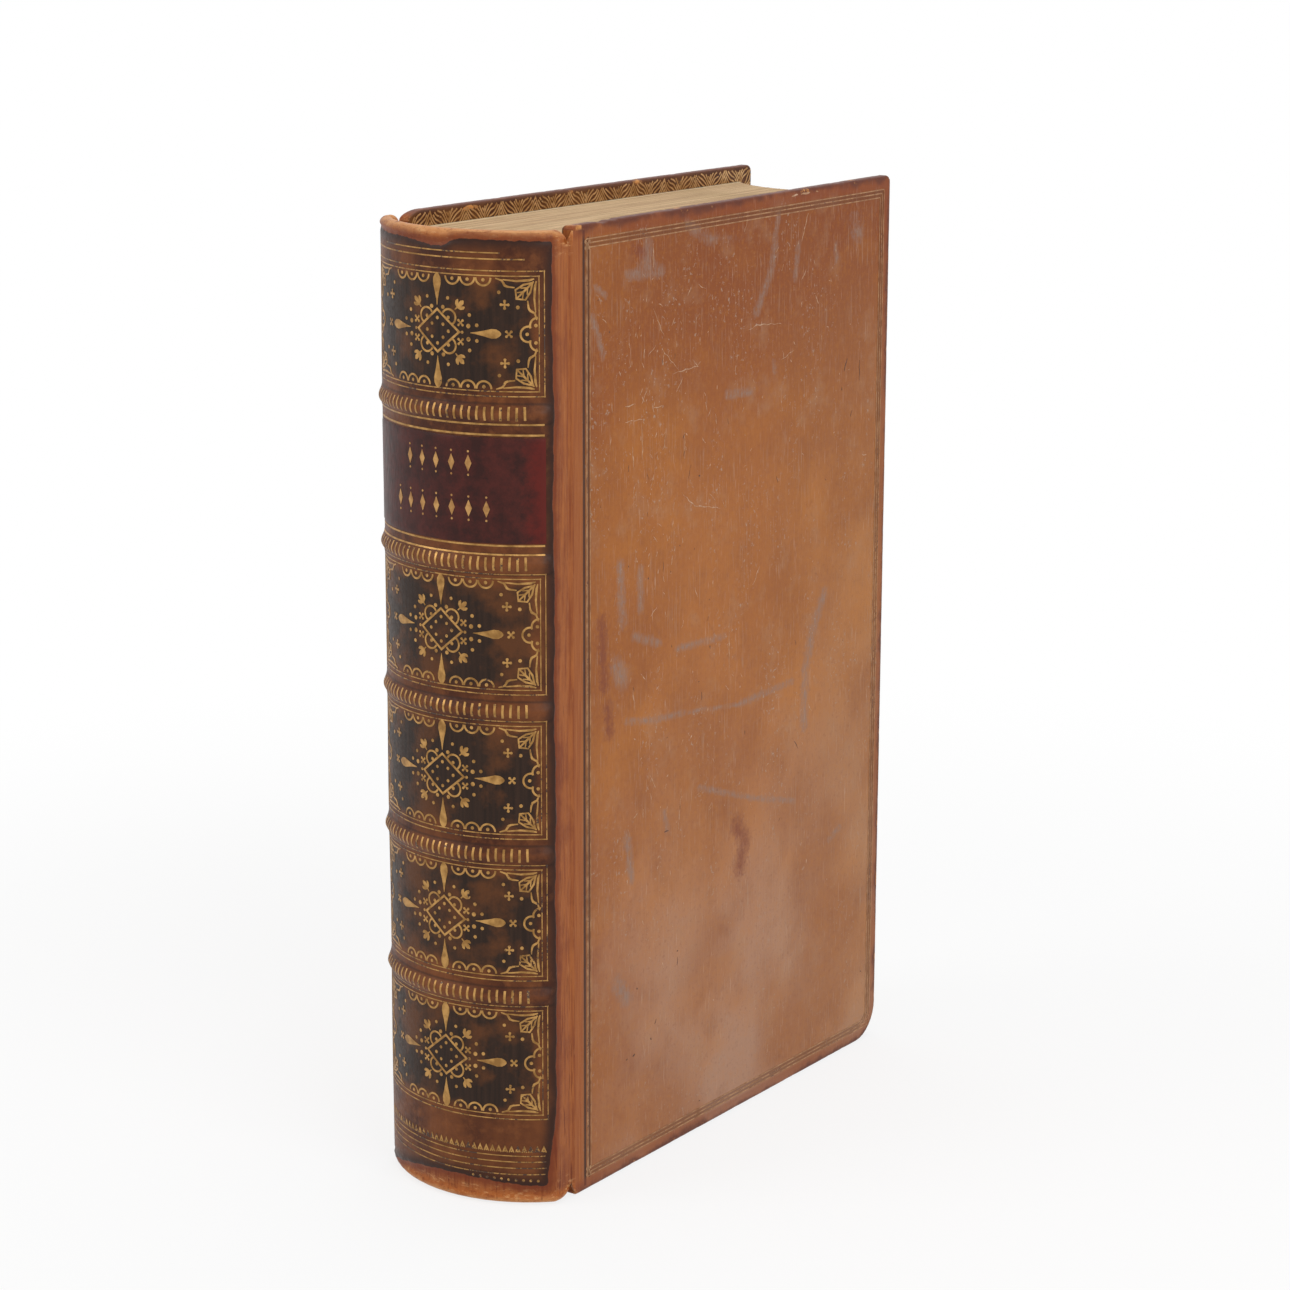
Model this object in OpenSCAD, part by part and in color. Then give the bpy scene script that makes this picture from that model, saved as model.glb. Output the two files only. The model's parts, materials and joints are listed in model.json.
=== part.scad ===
// Antique leather book: a thick octavo in full calf with a tight joint, standing on its tail edges.
// Z runs up from tail to head, X across the thickness with the front cover at +X,
// and Y from the spine at -Y to the fore-edge at +Y.
// The origin is under the middle of the whole book, on the surface that it stands on.

/* [Boards] */
// Height of the covers
board_height = 250; // [180:1:320]
// Depth of a cover from its hinge line to its fore-edge
board_depth = 150.5; // [120:0.5:190]
// Thickness of the millboard inside a cover
board_core = 2.4; // [1.6:0.1:3.6]
// Thickness of the calf on the covers
cover_calf = 0.5; // [0.3:0.1:0.8]
// Thickness of the leather turned in round the edges
turn_in_calf = 0.4; // [0.3:0.1:0.6]
// Width of the leather turned in on the inner face
turn_in_width = 12; // [9:0.5:18]
// Thickness of the paper pasted down inside a cover
pastedown_paper = 0.2; // [0.1:0.05:0.35]
// Rounding along the edges of a cover
edge_round = 0.8; // [0.3:0.1:1.1]
// Radius of the corners at the head
head_corner = 1.8; // [1:0.1:6]
// Radius of the front cover's worn corner at the tail
front_tail_corner = 10; // [1:0.5:14]
// Radius of the back cover's corner at the tail
back_tail_corner = 3; // [1:0.5:14]
// Angle by which the front cover leans in towards the fore-edge
front_lean = 1.7; // [0.1:0.1:2.4]
// Angle by which the back cover leans in towards the fore-edge
back_lean = 0.2; // [0.1:0.1:2.4]

/* [Book block] */
// Thickness of the whole book at the joints
joint_thickness = 55; // [48:0.5:62]
// How far the covers stand out past the leaves at head and tail
square = 4.2; // [4:0.1:7]
// How far the covers stand out past the leaves at the fore-edge
fore_square = 6.5; // [3:0.5:10]
// Depth of the hollow in the fore-edge
fore_hollow = 8; // [3:0.5:12]
// Thickness of a free endpaper
flyleaf_paper = 0.2; // [0.1:0.05:0.35]
// Radius of the worked endbands
endband_r = 1.1; // [0.8:0.1:1.4]

/* [Spine] */
// Radius of the rounded back, over the leather
spine_r = 36.7; // [34:0.1:44]
// How far the back stands out past the hinge lines
spine_depth = 18.7; // [16:0.1:21]
// Radius of the leather over the shoulders
shoulder_r = 3; // [2.4:0.1:4]
// Thickness of the calf on the spine
spine_calf = 0.9; // [0.7:0.1:1.1]
// Thickness of the lining under it
lining = 0.5; // [0.3:0.1:0.8]
// Radius of the rolled caps at head and tail
cap_r = 1.8; // [1.2:0.1:1.8]
// How far the caps stay below the level of the covers
cap_drop = 0.4; // [0.3:0.1:0.8]
// Height of the lowest raised band, in hundredths of the covers' height
first_band = 22.56; // [22:0.04:22.8]
// Distance from one raised band to the next, in hundredths of the covers' height
band_share = 14.88; // [14.6:0.04:14.92]
// Width of a raised band
band_width = 4.2; // [3.6:0.1:4.4]
// How far a raised band stands out
band_relief = 1.1; // [0.9:0.1:1.3]
// Length over which a band fades out at the shoulder
band_fade = 5.5; // [4:0.5:8]

/* [Tooling] */
// Thickness of the gold leaf, drawn thicker than life
leaf = 0.08; // [0.05:0.01:0.12]
// Width of a tooled line
line_w = 0.4; // [0.3:0.05:0.6]
// Distance from the middle of the shoulder to a panel's outer line
panel_margin = 2.2; // [1.5:0.1:3]
// Distance between a panel's outer and inner lines
panel_double = 1.2; // [1:0.1:1.6]
// Distance from a panel's outer frame to the bands, were it in the middle between them
panel_gap = 1.3; // [1.2:0.1:2.4]
// How far the panels sit above the middle between two bands
panel_rise = 1; // [0:0.1:1.2]
// How far the ornaments sit off the middle of the back, towards the front cover
ornament_shift = 1.2; // [0:0.1:1.4]
// Half width of the lozenge in the middle of a panel
lozenge_w = 6.2; // [5:0.1:7]
// Half height of that lozenge
lozenge_h = 5.2; // [4:0.1:6]
// Radius of the scallops along the panels
scallop_r = 2.1; // [1.5:0.1:2.3]
// Distance from one tick on a raised band to the next
tick_pitch = 2; // [1.6:0.1:3]
// Width of a tick
tick_w = 0.75; // [0.5:0.05:1]
// Thickness of the title label
label_leather = 0.3; // [0.2:0.05:0.5]
// Distance from the title label to the bands above and below it
label_gap = 3.4; // [3.3:0.1:5]
// Height of a tooth in the border at the tail
tooth_h = 1.9; // [1.2:0.1:2.4]
// Distance from the edges of a cover to its outermost fillet
fillet_inset = 3.9; // [2.5:0.1:6]
// Distance from the hinge line to the innermost upright fillet of that frame
fillet_joint = 6; // [5.6:0.1:9]
// Distance from one peak to the next in the roll on the turned-in leather
roll_period = 9; // [6:0.5:12]

/* [Hidden] */
$fn = 72;
glue = 0.05;                 // film between two pieces that are pasted together
tooling_gap = 0.02;          // film between leather and gold
joint_gap = 0.2;             // from the hinge line to the leather on each side of it
page_gap = 0.15;             // air between a cover and its free endpaper
over = 1;                    // how far a cutting shape runs past what it cuts

half = joint_thickness / 2;
cover_t = cover_calf + board_core + turn_in_calf;
spine_cy = spine_r - spine_depth;
corner_x = half - shoulder_r;
corner_y = spine_cy - sqrt(pow(spine_r - shoulder_r, 2) - pow(corner_x, 2));
arc_half = asin(corner_x / (spine_r - shoulder_r));
spine_lo = cap_drop;
spine_hi = board_height - cap_drop;
block_lo = square;
block_hi = board_height - square;
gold_lo = tooling_gap;
gold_hi = tooling_gap + leaf;
back_reach = spine_depth + band_relief + gold_hi;
middle_y = (board_depth - back_reach) / 2;
band_ring = (pow(band_width / 2, 2) + pow(band_relief, 2)) / (2 * band_relief);
band_axis = spine_r + band_relief - band_ring;
band_pitch = board_height * band_share / 100;
band_z = [for (i = [0:4]) board_height * first_band / 100 + (4 - i) * band_pitch];
per_mm = 180 / (PI * spine_r);   // degrees round the spine for a millimetre along it
panel_w = arc_half / per_mm - panel_margin + 1;
panel_half = (band_pitch - band_width) / 2 - panel_gap;
panel_z = concat([for (i = [0:4]) band_z[i] + band_pitch / 2 + panel_rise], [band_z[4] - band_pitch / 2 + panel_rise]);
label_h = band_pitch - band_width - 2 * label_gap;
label_z = (band_z[0] + band_z[1]) / 2 - 0.3;
block_inset = spine_calf + lining + 2 * glue;
leaf_x = half - cover_t - page_gap - flyleaf_paper - glue;
fore_y = board_depth - fore_square;
front_x = leaf_x - fore_y * tan(front_lean);
back_x = -leaf_x + fore_y * tan(back_lean);
hollow_half = (front_x - back_x) / 2;
hollow_r = (pow(hollow_half, 2) + pow(fore_hollow, 2)) / (2 * fore_hollow);

module in_frame() {
    translate([0, -middle_y, 0]) children();
}

// Turns a section in the plane of radius and height round the axis of the rounded back
module round_back(half_angle) {
    translate([0, spine_cy, 0])
        rotate([0, 0, -90 - half_angle])
            rotate_extrude(angle = 2 * half_angle)
                children();
}

// Outline in plan of the back and its shoulders, moved in from the outside by a distance
module back_plan(inset) {
    reach = 2 * spine_r;
    intersection() {
        union() {
            intersection() {
                translate([0, spine_cy]) circle(r = spine_r - inset);
                polygon([[0, spine_cy],
                    [-reach * sin(arc_half), spine_cy - reach * cos(arc_half)],
                    [reach * sin(arc_half), spine_cy - reach * cos(arc_half)]]);
            }
            for (side = [-1, 1])
                translate([side * corner_x, corner_y]) circle(r = shoulder_r - inset);
            translate([inset - half, corner_y]) square([2 * (half - inset), -corner_y]);
        }
        translate([-half, -reach]) square([2 * half, reach - joint_gap]);
    }
}

// The leaves: rounded and backed at the spine, hollow at the fore-edge, trimmed flat at head and tail
module text_block() {
    color("#C9AE84")
        in_frame()
            translate([0, 0, block_lo])
                linear_extrude(block_hi - block_lo)
                    difference() {
                        union() {
                            back_plan(block_inset);
                            polygon([[leaf_x, -joint_gap], [front_x, fore_y], [back_x, fore_y], [-leaf_x, -joint_gap]]);
                        }
                        translate([(front_x + back_x) / 2, fore_y - fore_hollow + hollow_r]) circle(r = hollow_r);
                    }
}

// A free endpaper against the leaves; side is 1 at the front and -1 at the back
module flyleaf(side, lean) {
    color("#8A5A4A")
        in_frame()
            translate([side * half, 0, block_lo])
                rotate([0, 0, side * lean])
                    translate([side > 0 ? -cover_t - page_gap - flyleaf_paper : cover_t + page_gap, 0.3, 0])
                        cube([flyleaf_paper, fore_y - 0.6, block_hi - block_lo]);
}

module front_flyleaf() {
    flyleaf(1, front_lean);
}

module back_flyleaf() {
    flyleaf(-1, back_lean);
}

// Linen and paper glued over the folds of the leaves
module spine_lining() {
    color("#D8CDB4")
        in_frame()
            round_back(arc_half - 1)
                translate([spine_r - spine_calf - glue - lining, block_lo])
                    square([lining, block_hi - block_lo]);
}

// Silk worked over a cord, sitting on the leaves behind the rolled cap
module endband(z) {
    color("#B89A5A")
        in_frame()
            round_back(arc_half - 3)
                translate([spine_r - 2 * cap_r - 2 * glue - endband_r, z])
                    circle(r = endband_r);
}

module head_endband() {
    endband(block_hi + glue + endband_r);
}

module tail_endband() {
    endband(block_lo - glue - endband_r);
}

// Cuts a band away towards both shoulders, along a plane that leaves the full height at the inner end
module fade_band(drop) {
    full = arc_half - band_fade * per_mm;
    top = spine_r + band_relief - drop;
    foot = spine_r - drop;
    run = [foot * sin(arc_half) - top * sin(full), top * cos(full) - foot * cos(arc_half)];
    difference() {
        children();
        for (side = [0, 1])
            translate([0, spine_cy, 0])
                mirror([side, 0, 0])
                    translate([top * sin(full), -top * cos(full), -over])
                        rotate([0, 0, atan2(run[1], run[0])])
                            translate([-over * 20, -over * 6, 0])
                                cube([over * 40, over * 6, board_height + 2 * over]);
    }
}

// A cord under the leather, sewn across the back of the leaves
module raised_band(index) {
    color("#B99B6B")
        in_frame()
            fade_band(spine_calf + glue)
                round_back(arc_half)
                    intersection() {
                        translate([band_axis, band_z[index]]) circle(r = band_ring - spine_calf - glue);
                        translate([spine_r - spine_calf, 0]) square([band_relief + spine_calf, board_height]);
                    }
}

// Section of the leather from tail to head, rolled over a cord at both ends, with its outside at a radius
module cap_section(radius) {
    translate([radius - spine_calf, spine_lo + cap_r]) square([spine_calf, spine_hi - spine_lo - 2 * cap_r]);
    for (z = [spine_lo + cap_r, spine_hi - cap_r])
        translate([radius - cap_r, z]) circle(r = cap_r);
}

// The same section at the corner of a shoulder, where the fold fills the inside of the roll
module corner_section() {
    intersection() {
        cap_section(shoulder_r);
        square([shoulder_r, board_height]);
    }
    for (z = [spine_lo, spine_hi - 2 * cap_r])
        translate([0, z]) square([shoulder_r - cap_r, 2 * cap_r]);
}

// Calf over the back and shoulders, drawn in round the bands and rolled over at head and tail
module spine_leather() {
    color("#5F3222")
        in_frame()
            difference() {
                union() {
                    round_back(arc_half) cap_section(spine_r);
                    for (side = [0, 1])
                        mirror([side, 0, 0])
                            translate([corner_x, corner_y, 0])
                                rotate([0, 0, arc_half - 90])
                                    rotate_extrude(angle = 90 - arc_half)
                                        corner_section();
                    for (side = [0, 1])
                        mirror([side, 0, 0])
                            translate([half, -joint_gap - cap_r, 0])
                                rotate([90, 0, 0])
                                    linear_extrude(-joint_gap - cap_r - corner_y)
                                        cap_section(0);
                    fade_band(0)
                        round_back(arc_half)
                            for (z = band_z)
                                intersection() {
                                    translate([band_axis, z]) circle(r = band_ring);
                                    translate([spine_r - spine_calf / 2, 0])
                                        square([band_relief + spine_calf, board_height]);
                                }
                    // the flat of the leather on to the joint, past the ends of the rolls
                    for (side = [0, 1])
                        mirror([side, 0, 0])
                            translate([half - spine_calf, -joint_gap - cap_r - over, spine_lo + cap_r])
                                cube([spine_calf, cap_r + over, spine_hi - spine_lo - 2 * cap_r]);
                    for (side = [0, 1])
                        mirror([side, 0, 0])
                            for (z = [spine_lo + cap_r, spine_hi - cap_r])
                                translate([half - cap_r, -joint_gap - cap_r, z])
                                    sphere(r = cap_r);
                }
                fade_band(spine_calf)
                    round_back(arc_half)
                        for (z = band_z)
                            intersection() {
                                translate([band_axis, z]) circle(r = band_ring - spine_calf);
                                translate([spine_r - spine_calf - over, 0])
                                    square([band_relief + spine_calf + over, board_height]);
                            }
            }
}

// Puts a flat shape on the rounded back, s millimetres round from its middle and at a height
module at_spine(s, z) {
    translate([0, spine_cy, z])
        rotate([0, 0, s * per_mm])
            translate([0, -spine_r, 0])
                rotate([90, 0, 0])
                    children();
}

// A skin that follows the rounded back, between two depths over the leather and two heights
module back_skin(width, from, to, z_lo, z_hi) {
    round_back(width * per_mm)
        translate([spine_r + from, z_lo])
            square([to - from, z_hi - z_lo]);
}

// A line across the back
module across(width, z) {
    back_skin(width, gold_lo, gold_hi, z - line_w / 2, z + line_w / 2);
}

// A line down the back
module down(s, z_lo, z_hi) {
    at_spine(s, (z_lo + z_hi) / 2)
        translate([-line_w / 2, -(z_hi - z_lo) / 2, gold_lo])
            cube([line_w, z_hi - z_lo, leaf]);
}

module dot(x, y, r) {
    translate([x, y]) circle(r = r);
}

module arc_line(r) {
    difference() {
        circle(r = r);
        circle(r = r - line_w);
    }
}

// Half a ring with a dot in it, opening down
module scallop() {
    intersection() {
        arc_line(scallop_r);
        translate([-scallop_r, 0]) square([2 * scallop_r, scallop_r]);
    }
    dot(0, 0.6, 0.4);
}

// A drop with its point at the origin, lying along +X
module drop(length, r) {
    translate([length - r, 0]) circle(r = r);
    polygon([[0, 0], [length - r, -r], [length - r, r]]);
}

module cross(size, w) {
    for (turn = [0, 90])
        rotate(turn)
            square([size, w], center = true);
}

module flower() {
    for (turn = [45:90:315])
        rotate(turn)
            translate([0.75, 0]) circle(r = 0.62);
    circle(r = 0.5);
}

// The lozenge with its lobes, dots, flowers and drops, centred on the origin
module centre_ornament() {
    difference() {
        polygon([[lozenge_w, 0], [0, lozenge_h], [-lozenge_w, 0], [0, -lozenge_h]]);
        polygon([[lozenge_w - 0.75, 0], [0, lozenge_h - 0.62], [0.75 - lozenge_w, 0], [0, 0.62 - lozenge_h]]);
    }
    for (u = [-1, 1]) {
        dot(u * 3.2, 0, 0.42);
        dot(0, u * 3, 0.42);
        dot(u * (lozenge_w + 0.8), 0, 0.4);
        for (v = [-1, 1]) {
            dot(u * 1.6, v * 1.5, 0.42);
            dot(u * 3.3, v * 3.4, 0.42);
            dot(u * 1.7, v * (lozenge_h + 0.6), 0.5);
            dot(u * 3.1, v * 8.1, 0.45);
            dot(u * 8.7, v * 1.6, 0.55);
            dot(u * 10.9, v * 1.9, 0.45);
            dot(u * 9, v * 4.3, 0.45);
            translate([u * 6.5, v * 6.5]) flower();
            translate([u * 6.7, v * 2.3]) rotate(45) cross(1.7, 0.5);
            difference() {
                translate([u * 3.25, v * 3.4]) arc_line(2.05);
                polygon([[lozenge_w - 0.4, 0], [0, lozenge_h - 0.33], [0.4 - lozenge_w, 0], [0, 0.33 - lozenge_h]]);
            }
        }
        translate([u * 9.3, 0]) rotate(90 - 90 * u) drop(7.4, 1.2);
        translate([0, u * (lozenge_h + 1)]) rotate(90 * u) drop(panel_half - lozenge_h - 2.6, 1.2);
        translate([u * 18.9, 0]) rotate(45) cross(1.9, 0.55);
    }
}

// What stands in a corner and at the side of a panel, for the corner at the right and top
module corner_ornament(inner_w, inner_h) {
    translate([inner_w - 4.4, inner_h - 3.7]) rotate(45) {
        intersection() {
            translate([0, 1.5]) circle(r = 2.5);
            translate([0, -1.5]) circle(r = 2.5);
        }
        translate([2.3, 0]) circle(r = 0.45);
    }
    translate([inner_w - 1.4, inner_h - 6.4]) rotate(-35) drop(2.6, 0.45);
    translate([inner_w - 7.6, inner_h - 1.2]) rotate(-15) drop(2.6, 0.45);
    dot(inner_w - 9.3, inner_h - 3.9, 0.55);
    dot(inner_w - 4.7, inner_h - 7.5, 0.55);
    translate([inner_w - 7.9, inner_h - 6.9]) cross(2.1, 0.5);
}

module side_cluster() {
    for (v = [-1, 1])
        translate([0, v * 2.1]) rotate(90) scallop();
    translate([-2.4, 0]) rotate(90) scallop();
}

// Gold on one panel, everything within its frame pressed onto the rounded back
module panel_tooling(index) {
    inner_w = panel_w - panel_double;
    inner_h = panel_half - panel_double;
    z = panel_z[index];
    color("#C39A4A")
        in_frame() {
            for (w = [panel_w, inner_w])
                for (side = [-1, 1])
                    down(side * w, z - (w == panel_w ? panel_half : inner_h), z + (w == panel_w ? panel_half : inner_h));
            for (side = [-1, 1]) {
                across(panel_w - line_w, z + side * (panel_half - line_w / 2));
                across(inner_w - line_w, z + side * (inner_h - line_w / 2));
            }
            intersection() {
                back_skin(panel_w, gold_lo, gold_hi, z - panel_half, z + panel_half);
                union() {
                    // the side drops and everything nearer the middle, set round the back in three strips
                    at_spine(ornament_shift, z)
                        linear_extrude(2 * over, center = true)
                            intersection() {
                                centre_ornament();
                                square([12.4, 2 * panel_half], center = true);
                            }
                    for (side = [-1, 1]) {
                        at_spine(ornament_shift + side * 12.6, z)
                            linear_extrude(2 * over, center = true)
                                intersection() {
                                    translate([-side * 12.6, 0]) centre_ornament();
                                    square([12.8, 2 * panel_half], center = true);
                                }
                        for (end = [-1, 1]) {
                            for (k = [0:2])
                                at_spine(ornament_shift + side * (4.4 + k * 4.3), z + end * (inner_h - line_w - 0.1))
                                    rotate([0, 0, 90 + 90 * end])
                                        linear_extrude(2 * over, center = true)
                                            scallop();
                            at_spine(side * (inner_w - 5), z)
                                linear_extrude(2 * over, center = true)
                                    mirror([side < 0 ? 1 : 0, 0])
                                        mirror([0, end < 0 ? 1 : 0])
                                            translate([5 - inner_w, 0])
                                                corner_ornament(inner_w - line_w, inner_h - line_w);
                        }
                        at_spine(side * (inner_w - line_w - 0.1), z)
                            linear_extrude(2 * over, center = true)
                                mirror([side < 0 ? 1 : 0, 0])
                                    side_cluster();
                    }
                }
            }
        }
}

// Upright ticks of gold over each raised band
module band_tooling() {
    count = floor((panel_w - 1.5) / tick_pitch);
    reach = 36;   // degrees up and down the round of the band
    color("#B88D42")
        in_frame()
            for (z = band_z)
                for (k = [-count:count])
                    translate([0, spine_cy, z])
                        rotate([0, 0, k * tick_pitch * per_mm - 90])
                            translate([band_axis, tick_w / 2, 0])
                                rotate([90, 0, 0])
                                    rotate([0, 0, -reach])
                                        linear_extrude(tick_w)
                                            sector(band_ring + gold_lo, band_ring + gold_hi, 2 * reach);
}

// Part of a flat ring, from the X axis through an angle below 90 degrees
module sector(r_in, r_out, angle) {
    intersection() {
        difference() {
            circle(r = r_out);
            circle(r = r_in);
        }
        polygon([[0, 0], [2 * r_out, 0], [2 * r_out * cos(angle / 2), 2 * r_out * sin(angle / 2)],
            [2 * r_out * cos(angle), 2 * r_out * sin(angle)]]);
    }
}

// Single lines of gold at the head, beside the label and at the tail
module spine_fillets() {
    color("#B88D42")
        in_frame() {
            for (down_by = [5.7, 7.2])
                across(panel_w - 6, board_height - down_by);
            for (z = [label_z + label_h / 2 + 0.7, label_z + label_h / 2 + 3.2,
                label_z - label_h / 2 - 0.7, label_z - label_h / 2 - 2.6])
                across(panel_w, z);
            for (z = [11.8, 9.8, 7.9, 6.2])
                across(panel_w - 1, z);
        }
}

// Row of small teeth near the tail
module tail_border() {
    count = floor((panel_w - 1) / (tooth_h * 1.2));
    color("#B88D42")
        in_frame()
            for (k = [-count:count])
                at_spine(k * tooth_h * 1.2, 14)
                    translate([0, 0, gold_lo])
                        linear_extrude(leaf)
                            polygon([[-tooth_h / 2, 0], [tooth_h / 2, 0], [0, tooth_h]]);
}

// Thin red leather in the second panel
module title_label() {
    color("#5A171A")
        in_frame()
            back_skin(panel_w, tooling_gap, tooling_gap + label_leather, label_z - label_h / 2, label_z + label_h / 2);
}

// Two short rows of lozenges and dots in gold on the label
module label_tooling() {
    lift = label_leather + gold_lo;
    color("#C9A050")
        in_frame()
            for (row = [[6.6, 4], [-4.6, 6]])
                for (k = [0:row[1]])
                    at_spine((k - row[1] / 2) * 4.6, label_z + row[0])
                        translate([0, 0, lift + gold_lo])
                            linear_extrude(leaf) {
                                polygon([[0, 1.9], [0.9, 0], [0, -1.9], [-0.9, 0]]);
                                dot(0, 2.7, 0.3);
                                dot(0, -2.7, 0.3);
                            }
}

// Section through the edge of a cover: length out to the edge along X, thickness along Y
module edge_section(length) {
    square([length - edge_round, cover_t]);
    for (y = [edge_round, cover_t - edge_round])
        translate([length - edge_round, y]) circle(r = edge_round);
    translate([length - edge_round, edge_round]) square([edge_round, cover_t - 2 * edge_round]);
}

// A whole covered board with soft edges, its joint edge square; outside at X = 0, inside at X = -cover_t
module soft_plate(tail_corner) {
    start = joint_gap;
    length = board_depth - start;
    mid = board_height - head_corner - tail_corner;
    // along the fore-edge
    translate([-cover_t, start, tail_corner])
        linear_extrude(mid)
            mirror([1, -1]) edge_section(length);
    // along head and tail, and round both corners
    for (end = [[tail_corner, tail_corner, 1], [board_height - head_corner, head_corner, 0]])
        translate([0, 0, end[0]])
            mirror([0, 0, end[2]]) {
                translate([-cover_t, board_depth - end[1], 0])
                    rotate([90, 0, 0])
                        linear_extrude(length - end[1])
                            mirror([1, -1]) edge_section(end[1]);
                translate([0, board_depth - end[1], 0])
                    rotate([90, 0, -90])
                        rotate([0, 0, 90])
                            rotate_extrude(angle = 90)
                                edge_section(end[1]);
            }
}

// Flat plate with the cover's outline, drawn in by a distance, between two depths from the outside
module inner_plate(tail_corner, inset, joint_inset, from, to) {
    w = board_depth - inset;
    lo = inset;
    hi = board_height - inset;
    r_lo = max(tail_corner - inset, 0.4);
    r_hi = max(head_corner - inset, 0.4);
    translate([-from, 0, 0])
        rotate([90, 0, -90])
            mirror([1, 0, 0])
                linear_extrude(to - from)
                    difference() {
                        translate([joint_gap + joint_inset, lo]) square([w - joint_gap - joint_inset, hi - lo]);
                        translate([w - r_lo, lo]) corner_waste(r_lo, 1);
                        translate([w - r_hi, hi]) corner_waste(r_hi, -1);
                    }
}

// What is cut from a square corner to round it; up is 1 at the tail and -1 at the head
module corner_waste(r, up) {
    scale([1, up])
        difference() {
            translate([0, -over]) square([r + over, r + over]);
            translate([0, r]) circle(r = r);
        }
}

// Puts a cover's pieces, modelled with the outside at X = 0 and the hinge line on Z, in their place
module in_cover(side, lean) {
    in_frame()
        translate([side * half, 0, 0])
            rotate([0, 0, side * lean])
                mirror([side < 0 ? 1 : 0, 0, 0])
                    children();
}

module board(side, lean, tail_corner) {
    color("#8C7B62")
        in_cover(side, lean)
            inner_plate(tail_corner, cover_calf + glue, 0, cover_calf + glue, cover_calf + board_core - glue);
}

// Calf over a board, with its edges turned in round head, tail and fore-edge
module leather(side, lean, tail_corner, shade) {
    color(shade)
        in_cover(side, lean)
            difference() {
                soft_plate(tail_corner);
                inner_plate(tail_corner, cover_calf, -over, cover_calf, cover_calf + board_core);
                inner_plate(tail_corner, turn_in_width, -over, cover_calf + board_core - over, cover_t + over);
            }
}

module pastedown(side, lean, tail_corner) {
    color("#8A5A4A")
        in_cover(side, lean)
            inner_plate(tail_corner, turn_in_width + glue, 0,
                cover_calf + board_core + glue, cover_calf + board_core + glue + pastedown_paper);
}

// Frame of three tooled lines on the outside of a cover
module fillets(side, lean) {
    color("#A87A3C")
        in_cover(side, lean)
            for (step = [0, 0.9, 2.1])
                difference() {
                    fillet_plate(step, 0);
                    fillet_plate(step + 0.3, over);
                }
}

module fillet_plate(step, extra) {
    low = fillet_inset + step;
    near = fillet_joint + step;
    translate([gold_lo - extra, near, low])
        cube([leaf + 2 * extra, board_depth - near - low, board_height - 2 * low]);
}

// Zigzag strip along X with its lower points at Y = 0
module zigzag(length, height, w) {
    count = max(floor(length / roll_period), 2);
    step = length / count;
    low = [for (k = [0:2 * count]) [k * step / 2, (k % 2) * height]];
    high = [for (k = [2 * count:-1:0]) [k * step / 2, (k % 2) * height + w]];
    polygon(concat(low, high));
}

// Roll tooled on the turned-in leather: nested zigzags along head, tail and fore-edge
module turn_in_roll(side, lean) {
    band = turn_in_width - 2.6;
    height = band * 0.45;
    near = joint_gap + 2;
    color("#B08840")
        in_cover(side, lean)
            translate([-cover_t - gold_hi, 0, 0])
                rotate([90, 0, 90])
                    linear_extrude(leaf)
                        for (nest = [0:3]) {
                            y = 1.3 + nest * (band - height) / 3.2;
                            translate([near, board_height - y - height - 0.5])
                                zigzag(board_depth - near - turn_in_width, height, 0.5);
                            translate([near, y]) zigzag(board_depth - near - turn_in_width, height, 0.5);
                            translate([board_depth - y, turn_in_width])
                                rotate(90) zigzag(board_height - 2 * turn_in_width, height, 0.5);
                        }
}

text_block();
front_flyleaf();
back_flyleaf();
spine_lining();
head_endband();
tail_endband();
raised_band(0);  // raised_band_1
raised_band(1);  // raised_band_2
raised_band(2);  // raised_band_3
raised_band(3);  // raised_band_4
raised_band(4);  // raised_band_5
spine_leather();
title_label();
label_tooling();
panel_tooling(0);  // panel_tooling_1
panel_tooling(2);  // panel_tooling_3
panel_tooling(3);  // panel_tooling_4
panel_tooling(4);  // panel_tooling_5
panel_tooling(5);  // panel_tooling_6
band_tooling();
spine_fillets();
tail_border();
board(1, front_lean, front_tail_corner);  // front_board
leather(1, front_lean, front_tail_corner, "#A3683C");  // front_leather
pastedown(1, front_lean, front_tail_corner);  // front_pastedown
fillets(1, front_lean);  // front_fillets
turn_in_roll(1, front_lean);  // front_turn_in_roll
board(-1, back_lean, back_tail_corner);  // back_board
leather(-1, back_lean, back_tail_corner, "#8F5733");  // back_leather
pastedown(-1, back_lean, back_tail_corner);  // back_pastedown
fillets(-1, back_lean);  // back_fillets
turn_in_roll(-1, back_lean);  // back_turn_in_roll
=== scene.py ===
"""Antique leather book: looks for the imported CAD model.

Lengths in this script are millimetres. `to_row` turns them into the metres of the row frame.
"""

import json
import math
from functools import partial

import bmesh
import bpy
import numpy as np
from mathutils import Matrix, Vector

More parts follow.
